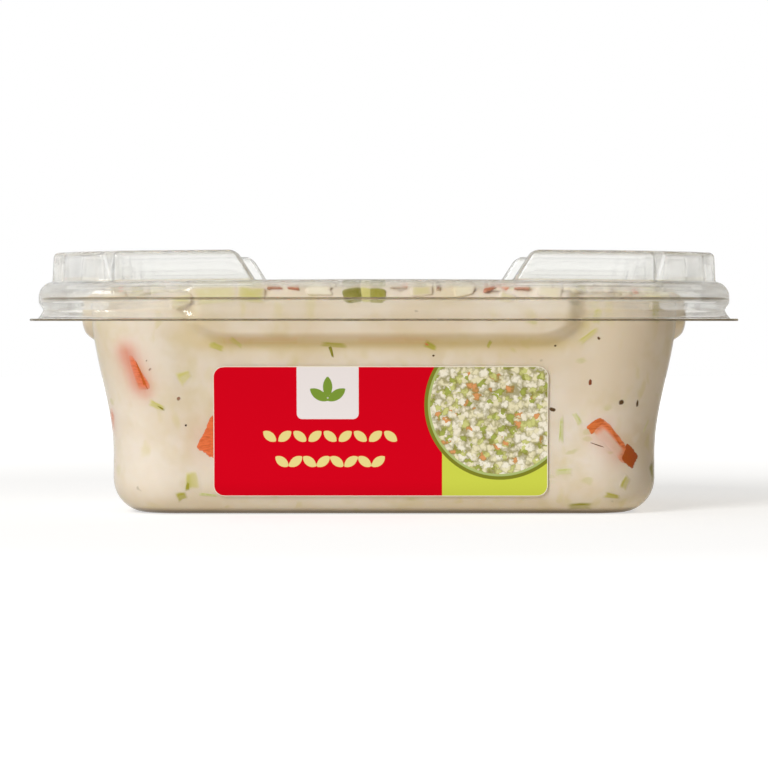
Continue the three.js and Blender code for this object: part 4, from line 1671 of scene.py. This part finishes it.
    def press(self, piece: Pressed, random: Random) -> tuple[Array, Array, Array]:
        """A piece at a wall as a closed lens that follows the wall, its outer face just in the sheet.

        Its outline is a rounded rectangle with a few low waves: rays from its middle, each cut off by
        the power mean of its two sides.

        Args:
            piece: The piece.
            random: Where its unevenness comes from.

        Returns:
            Its points, its faces and its film of dressing at each point.
        """
        columns, rings = self.piece_grid
        angle = np.linspace(0, TURN, columns, endpoint=False)
        power = self.piece_powers[piece.veg is not Veg.SPICE]
        box = (np.abs(np.cos(angle)) ** power + np.abs(np.sin(angle)) ** power) ** (-1 / power)
        waves = sum(
            random.uniform(*self.piece_waves) * np.cos(k * angle + random.uniform(0, TURN))
            for k in (1, 2, 3, 5)
        )
        ragged = self.ragged if piece.veg is Veg.CARROT else 0.0
        waves = waves + sum(
            ragged * random.uniform(0.3, 1) * np.cos(k * angle + random.uniform(0, TURN))
            for k in (9, 14, 23)
        )
        radius = box * (1 + waves)
        share = np.linspace(1 / rings, 1, rings)[:, None]
        u = share * radius * np.cos(angle) * piece.length / 2
        v = share * radius * np.sin(angle) * piece.width / 2
        random_taper = random.uniform(*self.piece_taper)
        taper = random_taper if piece.taper is None else piece.taper
        v = v * (1 - taper * u / piece.length * 2)
        lean = math.radians(piece.slant)
        start = self.tub.along_from_middle(piece.wall, piece.across, piece.z)
        along = start + u * math.cos(lean) - v * math.sin(lean)
        z = np.maximum(piece.z + u * math.sin(lean) + v * math.cos(lean), self.least_height)
        face = self.tub.on_wall(piece.wall, along, z)
        step = 0.05
        beside = self.tub.on_wall(piece.wall, along + step, z) - face
        above = self.tub.on_wall(piece.wall, along, z + step) - face
        normal = np.cross(beside, above)
        normal /= np.linalg.norm(normal, axis=-1, keepdims=True)
        body_depth = self.pack.wall - self.into_wall
        outer_depth = body_depth - self.piece_skin + self.edge_sink * share**5
        inner_depth = body_depth + self.piece_depth
        front = face - outer_depth[..., None] * normal
        back = face[::-1] - inner_depth * normal[::-1]
        points = np.concatenate([front, back]).reshape(-1, 3)
        middles = np.stack([front[0].mean(axis=0), back[-1].mean(axis=0)])
        points = np.concatenate([points, middles])
        faces = self.tube_faces(2 * rings, columns, len(points) - 2, len(points) - 1)
        ends, side = np.abs(u) / (piece.length / 2), v / (piece.width / 2)
        film = piece.film * (1 - smoothstep(ends, 0.4, 0.75)) * (1 - smoothstep(side, 0.0, 0.5))
        film = film + piece.fade * smoothstep(-side, -0.7, 0.8)
        film = np.clip(film + piece.soft * smoothstep(share, 0.86 - 0.45 * piece.soft, 0.9), 0, 1)
        film = np.concatenate([film, film[::-1]]).ravel()
        return points, faces, np.concatenate([film, [film[0], film[0]]])

    @staticmethod
    def tube_faces(rows: int, columns: int, first_pole: int, last_pole: int) -> Array:
        """Triangles of a tube of rings that is closed by a point at each end.

        Args:
            rows: How many rings.
            columns: Points on each ring.
            first_pole: Index of the point before the first ring.
            last_pole: Index of the point after the last ring.

        Returns:
            Faces, shaped (n, 3).
        """
        index = np.arange(rows * columns).reshape(rows, columns)
        beside = np.roll(index, -1, axis=1)
        near = np.stack([index[:-1], beside[:-1], beside[1:]], axis=-1).reshape(-1, 3)
        far = np.stack([index[:-1], beside[1:], index[1:]], axis=-1).reshape(-1, 3)
        first = np.stack([np.full(columns, first_pole), beside[0], index[0]], axis=-1)
        last = np.stack([index[-1], beside[-1], np.full(columns, last_pole)], axis=-1)
        return np.concatenate([first, near, far, last])

    def over_mouth(self, x: Array, y: Array, margin: Array) -> Array:
        """True where a place lies over the tub's mouth, clear of its wall by a margin.

        Args:
            x: Places along X.
            y: Places along Y.
            margin: The least distance to the wall.

        Returns:
            A truth value for each place.
        """
        inset = self.tub.rim_inset + self.pack.wall + margin
        radius = self.tub.top_radius
        dx = np.maximum(np.abs(x) - (self.pack.half_length - inset - radius), 0)
        dy = np.maximum(np.abs(y) - (self.pack.half_width - inset - radius), 0)
        return np.hypot(dx, dy) < radius

    def block(self, rows: int, columns: int, power: float) -> tuple[Array, Array]:
        """A squared-off ball: a ball's sines and cosines, each raised to a power below 1.

        Args:
            rows: Rings between its poles.
            columns: Points on each ring.
            power: 1 for a ball, and less for a squarer one.

        Returns:
            Points from -1 to 1, shaped (n, 3), and its faces.
        """
        tilt = np.linspace(-math.pi / 2, math.pi / 2, rows + 2)[1:-1, None]
        angle = np.linspace(0, TURN, columns, endpoint=False)[None]
        cos_tilt = np.abs(np.cos(tilt)) ** power
        sin_tilt = np.sign(np.sin(tilt)) * np.abs(np.sin(tilt)) ** power
        x = cos_tilt * np.sign(np.cos(angle)) * np.abs(np.cos(angle)) ** power
        y = cos_tilt * np.sign(np.sin(angle)) * np.abs(np.sin(angle)) ** power
        z = sin_tilt * np.ones_like(angle)
        points = np.stack([x, y, z], axis=-1).reshape(-1, 3)
        points = np.concatenate([points, [[0, 0, -1], [0, 0, 1]]])
        return points, self.tube_faces(rows, columns, rows * columns, rows * columns + 1)

    def perch(self, piece: Perched, random: Random) -> tuple[Array, Array, Array]:
        """A squared-off piece on the heap's front, which curves back with the fourth power of height.

        Args:
            piece: The piece.
            random: Where its unevenness comes from.

        Returns:
            Its points, its faces and its film of dressing at each point.
        """
        unit, faces = self.block(9, 28, 0.32)
        turn = np.arctan2(unit[:, 1], unit[:, 0])
        waves = 1 + sum(
            random.uniform(*self.perch_waves) * np.cos(k * turn + random.uniform(0, TURN))
            for k in (1, 2, 3, 5)
        )
        u = unit[:, 0] * waves * piece.length / 2
        v = unit[:, 1] * waves * piece.height / 2
        slant = math.radians(piece.slant)
        across = u * math.cos(slant) - v * math.sin(slant)
        up = u * math.sin(slant) + v * math.cos(slant)
        face_y = self.pack.half_width - self.tub.rim_inset + self.tub.shelf_depth - self.pack.wall
        above = max(piece.z - self.pack.rim_height + self.tub.fillet, 0.0)
        lean = math.atan(4 * self.front_curve * above**3)
        back = self.perch_depth + self.front_curve * above**4
        y = back - face_y - self.perch_half * unit[:, 2] * math.cos(lean) + up * math.sin(lean)
        z = piece.z + up * math.cos(lean) + self.perch_half * unit[:, 2] * math.sin(lean)
        from_middle = np.maximum(np.abs(unit[:, 0]), np.abs(unit[:, 1]))
        film = np.clip(piece.film + piece.soft * smoothstep(from_middle, 0.5, 0.98), 0, 1)
        return np.stack([piece.across + across, y, z], axis=-1), faces, film

    def chips(
        self, random: Random, count: int, length: Pair, width: Pair, thickness: Pair, sunk: Pair
    ) -> tuple[Array, Array]:
        """Flat chopped pieces strewn over the top.

        Each is a squared-off ellipsoid with a waved outline, bent up along its length and turned, and
        then lowered until it clears the lid.

        Args:
            random: Where places and shapes come from.
            count: How many are tried. Those too near the wall are left out.
            length: Least and most length.
            width: Least and most width.
            thickness: Least and most thickness.
            sunk: How far each middle lies above the bare top, least and most.

        Returns:
            Points, shaped (pieces, points, 3), and one piece's faces.
        """
        unit, faces = self.block(5, 12, 0.55)
        spans = (length, width, thickness)
        size = np.stack([random.uniform(*span, count) for span in spans], axis=-1) / 2
        x = random.uniform(-1, 1, count) * (self.pack.half_length - self.tub.rim_inset)
        y = random.uniform(-1, 1, count) * (self.pack.half_width - self.tub.rim_inset)
        turn = np.arctan2(unit[:, 1], unit[:, 0])
        waves = np.ones((count, len(unit)))
        for k in (1, 2, 3):
            high = random.uniform(*self.chip_waves, (count, 1))
            waves += high * np.cos(k * turn + random.uniform(0, TURN, (count, 1)))
        local = unit[None] * size[:, None]
        local[..., :2] *= waves[..., None]
        taper = random.uniform(*self.chip_taper, (count, 1))
        local[..., 1] *= 1 + taper * unit[None, :, 0]
        curl = random.uniform(*self.chip_curl, (count, 1)) / size[:, :1]
        local[..., 2] += curl * (local[..., 0] ** 2 - size[:, :1] ** 2 / 3) / 2
        bend = random.uniform(*self.chip_bend, (count, 1)) / size[:, :1]
        local[..., 1] += bend * local[..., 0] ** 2 / 2
        yaw = random.uniform(0, TURN, (count, 1))
        pitch, roll = random.normal(0, self.chip_tilt, (2, count, 1))
        across = local[..., 1] * np.cos(roll) - local[..., 2] * np.sin(roll)
        up = local[..., 1] * np.sin(roll) + local[..., 2] * np.cos(roll)
        ahead = local[..., 0] * np.cos(pitch) - up * np.sin(pitch)
        up = local[..., 0] * np.sin(pitch) + up * np.cos(pitch)
        place_x = x[:, None] + ahead * np.cos(yaw) - across * np.sin(yaw)
        place_y = y[:, None] + ahead * np.sin(yaw) + across * np.cos(yaw)
        place_z = self.top(x, y)[:, None] + random.uniform(*sunk, (count, 1)) + up
        over = (place_z - self.pack.ceiling(place_x, place_y) + self.lid_gap).max(axis=1, keepdims=True)
        place_z -= np.maximum(over, 0)
        inside = self.over_mouth(place_x, place_y, self.chip_room).all(axis=1)
        inside &= (np.abs(x) < self.strewn_to[0]) | (np.abs(y) < self.strewn_to[1])
        return np.stack([place_x, place_y, place_z], axis=-1)[inside], faces

    def build_pieces(self, materials: dict[Veg, Material]) -> None:
        """Makes one object for each kind of piece, those at the walls and those on top together.

        Args:
            materials: The material of each kind.
        """
        random = np.random.default_rng(self.seed + 1)
        heaps = {veg: Heap() for veg in Veg}
        strewn = (
            (Veg.CABBAGE, 1900, (2.4, 5.6), (1.8, 3.8), (0.9, 2.0), (-0.6, 1.0), (0.3, 0.85)),
            (Veg.SHRED, 420, (5.0, 10.5), (1.0, 1.8), (0.8, 1.2), (-0.2, 1.2), (0.2, 0.7)),
            (Veg.CARROT, 170, (2.0, 5.0), (0.9, 1.8), (0.7, 1.3), (0.4, 1.4), (0.15, 0.6)),
            (Veg.PEPPER, 150, (1.8, 4.0), (1.2, 2.6), (0.6, 1.2), (0.4, 1.4), (0.1, 0.55)),
            (Veg.SPICE, 120, (0.5, 1.2), (0.4, 0.9), (0.3, 0.6), (1.0, 1.6), (0.0, 0.0)),
        )
        for veg, count, length, width, thickness, sunk, film in strewn:
            points, faces = self.chips(random, count, length, width, thickness, sunk)
            tone = random.uniform(0, 1, len(points))
            coat = np.repeat(random.uniform(*film, len(points)), points.shape[1])
            heaps[veg].add(points, faces, tone, coat)
        for piece in self.pressed_pieces():
            points, faces, film = self.press(piece, random)
            heaps[piece.veg].add(points[None], faces, np.array([piece.tone]), film)
        for piece in PERCHED_PIECES:
            points, faces, film = self.perch(piece, random)
            heaps[piece.veg].add(points[None], faces, np.array([piece.tone]), film)
        for veg, heap in heaps.items():
            heap.build(f"{veg.value}_pieces", materials[veg], self.marks(heap.shape.points()))


# The label


@dataclass
class Label:
    """The label: a thin film on the front wall, printed with plain fields and simple shapes."""

    tub: Tub
    left: float
    right: float
    low: float
    high: float
    corner: float = 2.3
    lift: float = 0.02
    thickness: float = 0.14
    field_edge: float = 12.4
    tab: Triple = (-12.0, 6.6, 20.6)
    disc: Triple = (24.7, 23.7, 16.1)
    garland_rows: tuple[tuple[float, float, float, int], ...] = (
        (-26.0, 3.0, 16.9, 9),
        (-23.4, 0.4, 11.5, 8),
    )
    leaf: Pair = (1.75, 0.95)
    leaf_lean: float = 38.0
    row_margin: float = 1.6
    sprig_length: float = 2.3
    sprig_leaves: tuple[tuple[float, ...], ...] = (
        (-1.9, 5.2, 1.05, -35.0),
        (1.9, 5.2, 1.05, 35.0),
        (0.0, 6.9, 1.0, 90.0),
    )
    tab_reach: float = 10.0
    tab_corner: float = 1.2
    grid: tuple[int, int] = (260, 104)

    @classmethod
    def from_frame(cls, tub: Tub) -> "Label":
        """Reads the label's outline from its CAD node's box."""
        low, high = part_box("label")
        return cls(tub, low.x / MM, high.x / MM, low.z / MM, high.z / MM)

    @staticmethod
    def box_distance(x: Array, z: Array, middle: Pair, half: Pair, corner: float) -> Array:
        """Distance outside a rectangle with round corners, negative inside it.

        Args:
            x: Places along X.
            z: Heights.
            middle: The rectangle's middle.
            half: Its half sizes.
            corner: Its corners' radius.

        Returns:
            The distance at each place.
        """
        dx = np.abs(x - middle[0]) - half[0] + corner
        dz = np.abs(z - middle[1]) - half[1] + corner
        return np.hypot(np.maximum(dx, 0), np.maximum(dz, 0)) + np.minimum(np.maximum(dx, dz), 0) - corner

    @staticmethod
    def leaf_distance(x: Array, z: Array, middle: Pair, half: Pair, lean: float) -> Array:
        """Distance outside a leaf, negative inside it: the overlap of two equal circles.

        Args:
            x: Places along X.
            z: Heights.
            middle: The leaf's middle.
            half: Half its length and half its width.
            lean: Its angle from level, in radians.

        Returns:
            The distance at each place.
        """
        dx, dz = x - middle[0], z - middle[1]
        u = dx * math.cos(lean) + dz * math.sin(lean)
        v = -dx * math.sin(lean) + dz * math.cos(lean)
        radius = (half[0] ** 2 + half[1] ** 2) / (2 * half[1])
        return np.hypot(u, np.abs(v) + radius - half[1]) - radius

    def marks(self, x: Array, z: Array) -> dict[str, Array]:
        """Signed distances to the printed shapes.

        Args:
            x: Places along X.
            z: Heights.

        Returns:
            Distances by attribute name.
        """
        middle = ((self.left + self.right) / 2, (self.low + self.high) / 2)
        half = ((self.right - self.left) / 2, (self.high - self.low) / 2)
        lean = math.radians(self.leaf_lean)
        leaves = [
            self.leaf_distance(x, z, (at, row_z), self.leaf, lean if i % 2 else -lean)
            for start, end, row_z, count in self.garland_rows
            for i, at in enumerate(np.linspace(start + self.row_margin, end - self.row_margin, count))
        ]
        tab_x, tab_half, tab_foot = self.tab
        sprig = [
            self.leaf_distance(
                x, z, (tab_x + aside, tab_foot + up), (self.sprig_length, width), math.radians(turn)
            )
            for aside, up, width, turn in self.sprig_leaves
        ]
        tab_middle, tab_size = (tab_x, tab_foot + self.tab_reach), (tab_half, self.tab_reach)
        disc_x, disc_z, disc_radius = self.disc
        return {
            "outline": self.box_distance(x, z, middle, half, self.corner),
            "tab": self.box_distance(x, z, tab_middle, tab_size, self.tab_corner),
            "garland": np.minimum.reduce(leaves),
            "sprig": np.minimum.reduce(sprig),
            "disc": np.hypot(x - disc_x, z - disc_z) - disc_radius,
        }

    def build(self, material: Material) -> None:
        """Makes the label: a grid pulled in to the round corners, lifted off the wall on both faces.

        Args:
            material: The print's material.
        """
        columns, rows = self.grid
        across, up = np.linspace(self.left, self.right, columns), np.linspace(self.low, self.high, rows)
        x, z = np.meshgrid(across, up)
        cut = self.corner - np.minimum(self.corner, np.minimum(z - self.low, self.high - z))
        pull = self.corner - np.sqrt(np.maximum(self.corner**2 - cut**2, 0))
        half = (self.right - self.left) / 2
        middle = (self.right + self.left) / 2
        x = middle + (x - middle) * (half - pull) / half
        face = self.tub.on_wall(Wall.FRONT, x, z)
        normal = grid_normals(face, wrapped=False)
        shape = Shape()
        outer = shape.add_points(face + (self.lift + self.thickness) * normal)
        inner = shape.add_points(face + self.lift * normal)
        shape.add_quads(outer, wrapped=False)
        shape.add_quads(inner[::-1], wrapped=False)
        rim_outer = np.concatenate([outer[0], outer[1:, -1], outer[-1, -2::-1], outer[-2:0:-1, 0]])
        rim_inner = np.concatenate([inner[0], inner[1:, -1], inner[-1, -2::-1], inner[-2:0:-1, 0]])
        shape.add_quads(np.stack([rim_inner, rim_outer]))
        marks = self.marks(x, z)
        values = {key: np.tile(distance.ravel(), 2) for key, distance in marks.items()}
        values["right_of_field"] = np.tile((x - self.field_edge).ravel(), 2)
        label = shape.build("label_film", material, Slot.LABEL, values, sharp=50)
        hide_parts("label")


@dataclass(frozen=True)
class PrintedFilm:
    """Varnished print on plastic film: even, saturated ink with a slight gloss and a bare pale edge."""

    red: str = "#da001c"
    lime: str = "#d2dc52"
    bare: str = "#f6f0e2"
    tab: str = "#f2edf1"
    garland: str = "#efe193"
    sprig: str = "#7f9e3c"
    rim: str = "#82862c"
    plate: str = "#b4c57c"
    edge_width: float = 0.15
    soft: float = 0.05
    bit_size: float = 1.25
    shade: str = "#8a8348"
    bits: Stops = (
        (0.0, "#f8f4e4"),
        (0.3, "#efe9c8"),
        (0.48, "#d3d68c"),
        (0.58, "#f6f0dc"),
        (0.72, "#e2a06a"),
        (0.76, "#a9b45a"),
        (0.84, "#f8f3e2"),
    )

    def build(self, name: str) -> Material:
        """Makes the material: fields laid over each other where their distances turn negative.

        Args:
            name: The material's name.

        Returns:
            The material.
        """
        tree = Tree(bpy.data.materials.new(name))
        place = tree.place()
        bits = tree.cells(tree.bent(place, 1.1, 0.0022), self.bit_size).outputs
        chopped = tree.ramp(bits["Color"], self.bits, "CONSTANT")
        shaded = tree.mixed(tree.mapped(bits["Distance"], 0.35, 0.8, 0.0, 0.75), chopped, self.shade)
        layers = (
            ("right_of_field", 0.0, False, self.lime),
            ("disc", 0.0, True, self.rim),
            ("disc", -0.75, True, self.plate),
            ("disc", -1.25, True, shaded),
            ("tab", 0.0, True, self.tab),
            ("sprig", 0.0, True, self.sprig),
            ("garland", 0.0, True, self.garland),
            ("outline", -self.edge_width, False, self.bare),
        )
        colour = self.red
        for attribute, threshold, inside, ink in layers:
            ends = (1.0, 0.0) if inside else (0.0, 1.0)
            distance = tree.attribute(attribute)
            share = tree.mapped(distance, threshold - self.soft, threshold + self.soft, *ends)
            colour = tree.mixed(share, colour, ink)
        return tree.finish(
            "BsdfPrincipled",
            {
                "Base Color": colour,
                "Roughness": 0.45,
                "IOR": 1.5,
                "Specular IOR Level": 0.03,
                "Normal": tree.bump(tree.noise(place, 6.0), 0.02, 0.3),
            },
        )


# The studio


@dataclass
class Studio:
    """Camera, lights, floor and backdrop. Sizes here are in metres."""

    distance: float = 0.7435
    eye_height: float = 0.0415
    lens: float = 155.1
    sensor_width: float = 36.0
    clip_start: float = 0.01
    aim_height: float = 0.03
    horizon_above_middle: float = 63.0
    picture_size: float = 768.0
    backdrop_radius: float = 1.7
    backdrop_height: float = 1.0
    floor_glow: float = 0.58
    floor_grey: str = "#c4c4c4"
    pool: Pair = (0.15, 0.55)
    key_place: Triple = (-0.74, -1.15, 0.85)
    key_power: float = 16.2
    key_size: float = 0.6
    backdrop_sides: int = 96
    table_light: str = "#eae0ce"
    front_gloss: str = "#a4a4a4"
    floor_gloss: str = "#6f6656"
    behind_sheet: str = "#f0f0f0"
    side_light: Stops = (
        (0.0, "#8a98ac"),
        (0.32, "#c8c8c8"),
        (0.58, "#a8a08c"),
        (0.78, "#5a4616"),
        (1.0, "#2e1e00"),
    )
    side_gloss: Stops = ((0.0, "#e8e8e8"), (0.46, "#e0e0e0"), (0.54, "#b4b0a8"), (1.0, "#a39e92"))

    def build_camera(self) -> None:
        """A level camera in front, at the height of the lid's flange, with the lens shifted down."""
        data = bpy.data.cameras.new("camera")
        data.lens = self.lens
        data.sensor_width = self.sensor_width
        data.shift_y = -self.horizon_above_middle / self.picture_size
        data.clip_start = self.clip_start
        camera = bpy.data.objects.new("camera", data)
        camera.location = (0.0, -self.distance, self.eye_height)
        camera.rotation_euler = (math.pi / 2, 0.0, 0.0)
        bpy.context.scene.collection.objects.link(camera)
        bpy.context.scene.camera = camera

    def build_light(self, name: str, place: Triple, power: float, size: float) -> None:
        """A square soft light that faces the pack.

        Args:
            name: Its name.
            place: Where it hangs.
            power: Its power in watts.
            size: Its side.
        """
        data = bpy.data.lights.new(name, "AREA")
        data.energy = power
        data.size = size
        light = bpy.data.objects.new(name, data)
        light.location = place
        aim = Vector((0, 0, self.aim_height)) - Vector(place)
        light.rotation_euler = aim.to_track_quat("-Z", "Y").to_euler()
        bpy.context.scene.collection.objects.link(light)

    def build_paper(self, name: str, shape: tuple[list, list], grey: str, glow: float) -> None:
        """A white stage piece that glows, so that it stays white.

        Away from the object the glow alone is full white. Near it the glow is less, and light that
        falls on the grey makes up the rest, so that shadows show there. The piece casts no shadow,
        lights no matt surface and shows in no reflection.

        Args:
            name: Its name.
            shape: Its points and faces.
            grey: Its colour where light falls on it.
            glow: How much light it gives off near the object.
        """
        tree = Tree(bpy.data.materials.new(name))
        reach = tree.add("VectorMath", {0: tree.place()}, operation="LENGTH").outputs["Value"]
        material = tree.finish(
            "BsdfPrincipled",
            {
                "Base Color": linear_colour(grey),
                "Roughness": 0.9,
                "Specular IOR Level": 0.0,
                "Emission Color": (1.0, 1.0, 1.0, 1.0),
                "Emission Strength": tree.mapped(reach, *self.pool, glow, 1.0),
            },
        )
        mesh = bpy.data.meshes.new(name)
        points, faces = shape
        mesh.from_pydata(points, [], faces)
        mesh.materials.append(material)
        plane = bpy.data.objects.new(name, mesh)
        plane.visible_diffuse = False
        plane.visible_shadow = False
        plane.visible_glossy = False
        bpy.context.scene.collection.objects.link(plane)

    def build_world(self) -> None:
        """Soft surroundings, in three versions.

        Matt surfaces are lit by one that is brightest left of the middle, cooler beyond it and dim and
        warm on the right, over a pale table. Reflections show one that is bright on the left and grey
        in front and on the right. Behind clear sheet it is near white.
        """
        tree = Tree(bpy.data.worlds.new("studio"))
        direction = tree.add("TexCoord").outputs["Generated"]
        parts = tree.add("SeparateXYZ", {0: direction}).outputs
        side = tree.mapped(parts["X"], -1.0, 1.0)
        lighting = tree.ramp(side, self.side_light)
        lighting = tree.mixed(tree.mapped(parts["Z"], 0.1, -0.6, 0.0, 0.92), lighting, self.table_light)
        gloss = tree.ramp(side, self.side_gloss)
        gloss = tree.mixed(tree.mapped(parts["Y"], -0.35, -0.8), gloss, self.front_gloss)
        gloss = tree.mixed(tree.mapped(parts["Z"], -0.05, -0.4, 0.0, 0.2), gloss, self.floor_gloss)
        path = tree.add("LightPath").outputs
        seen = tree.mixed(path["Is Diffuse Ray"], self.behind_sheet, lighting)
        seen = tree.mixed(path["Is Glossy Ray"], seen, gloss)
        world = tree.finish("Background", {"Color": seen, "Strength": 1.0}, "OutputWorld")
        bpy.context.scene.world = world

    def build(self) -> None:
        """Makes the whole studio."""
        self.build_camera()
        self.build_world()
        self.build_light("key", self.key_place, self.key_power, self.key_size)
        count = self.backdrop_sides
        turn = np.linspace(0, TURN, count, endpoint=False)
        ring = self.backdrop_radius * np.stack([np.cos(turn), np.sin(turn), np.zeros(count)], axis=-1)
        self.build_paper("floor", (ring.tolist(), [list(range(count))]), self.floor_grey, self.floor_glow)
        both = np.concatenate([ring, ring + [0, 0, self.backdrop_height]])
        here = np.arange(count)
        beside = (here + 1) % count
        walls = np.stack([here, beside, count + beside, count + here], axis=-1).tolist()
        self.build_paper("backdrop", (both.tolist(), walls), "#000000", 1.0)
        scene = bpy.context.scene
        scene.view_settings.view_transform = "Standard"
        scene.cycles.max_bounces = 20
        scene.cycles.transmission_bounces = 16
        scene.cycles.transparent_max_bounces = 24
        scene.cycles.diffuse_bounces = 4
        scene.cycles.glossy_bounces = 8
        logger.info("studio ready")


def main() -> None:
    """Builds the dressed tub of coleslaw in its studio."""
    logging.basicConfig(level=logging.INFO, format="%(name)s: %(message)s")
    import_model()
    pack = Pack.from_frame()
    Studio().build()
    tub = Tub(pack)
    tub.build(ClearPet().build("thermoformed_pet_tub"))
    Lid(pack).build(ClearPet().build("thermoformed_pet_lid"))
    coleslaw = Coleslaw(pack, tub)
    dressing = Dressing()
    coleslaw.build_body(dressing.build("mayonnaise_dressing"))
    cabbage = CABBAGE.build("raw_white_cabbage", dressing)
    coleslaw.build_pieces(
        {
            Veg.CABBAGE: cabbage,
            Veg.SHRED: cabbage,
            Veg.CARROT: CARROT.build("raw_carrot", dressing),
            Veg.PEPPER: PEPPER.build("raw_green_pepper", dressing),
            Veg.SPICE: SPICE.build("ground_spice", dressing),
        }
    )
    Label.from_frame(tub).build(PrintedFilm().build("varnished_print"))


if __name__ == "__main__":
    main()
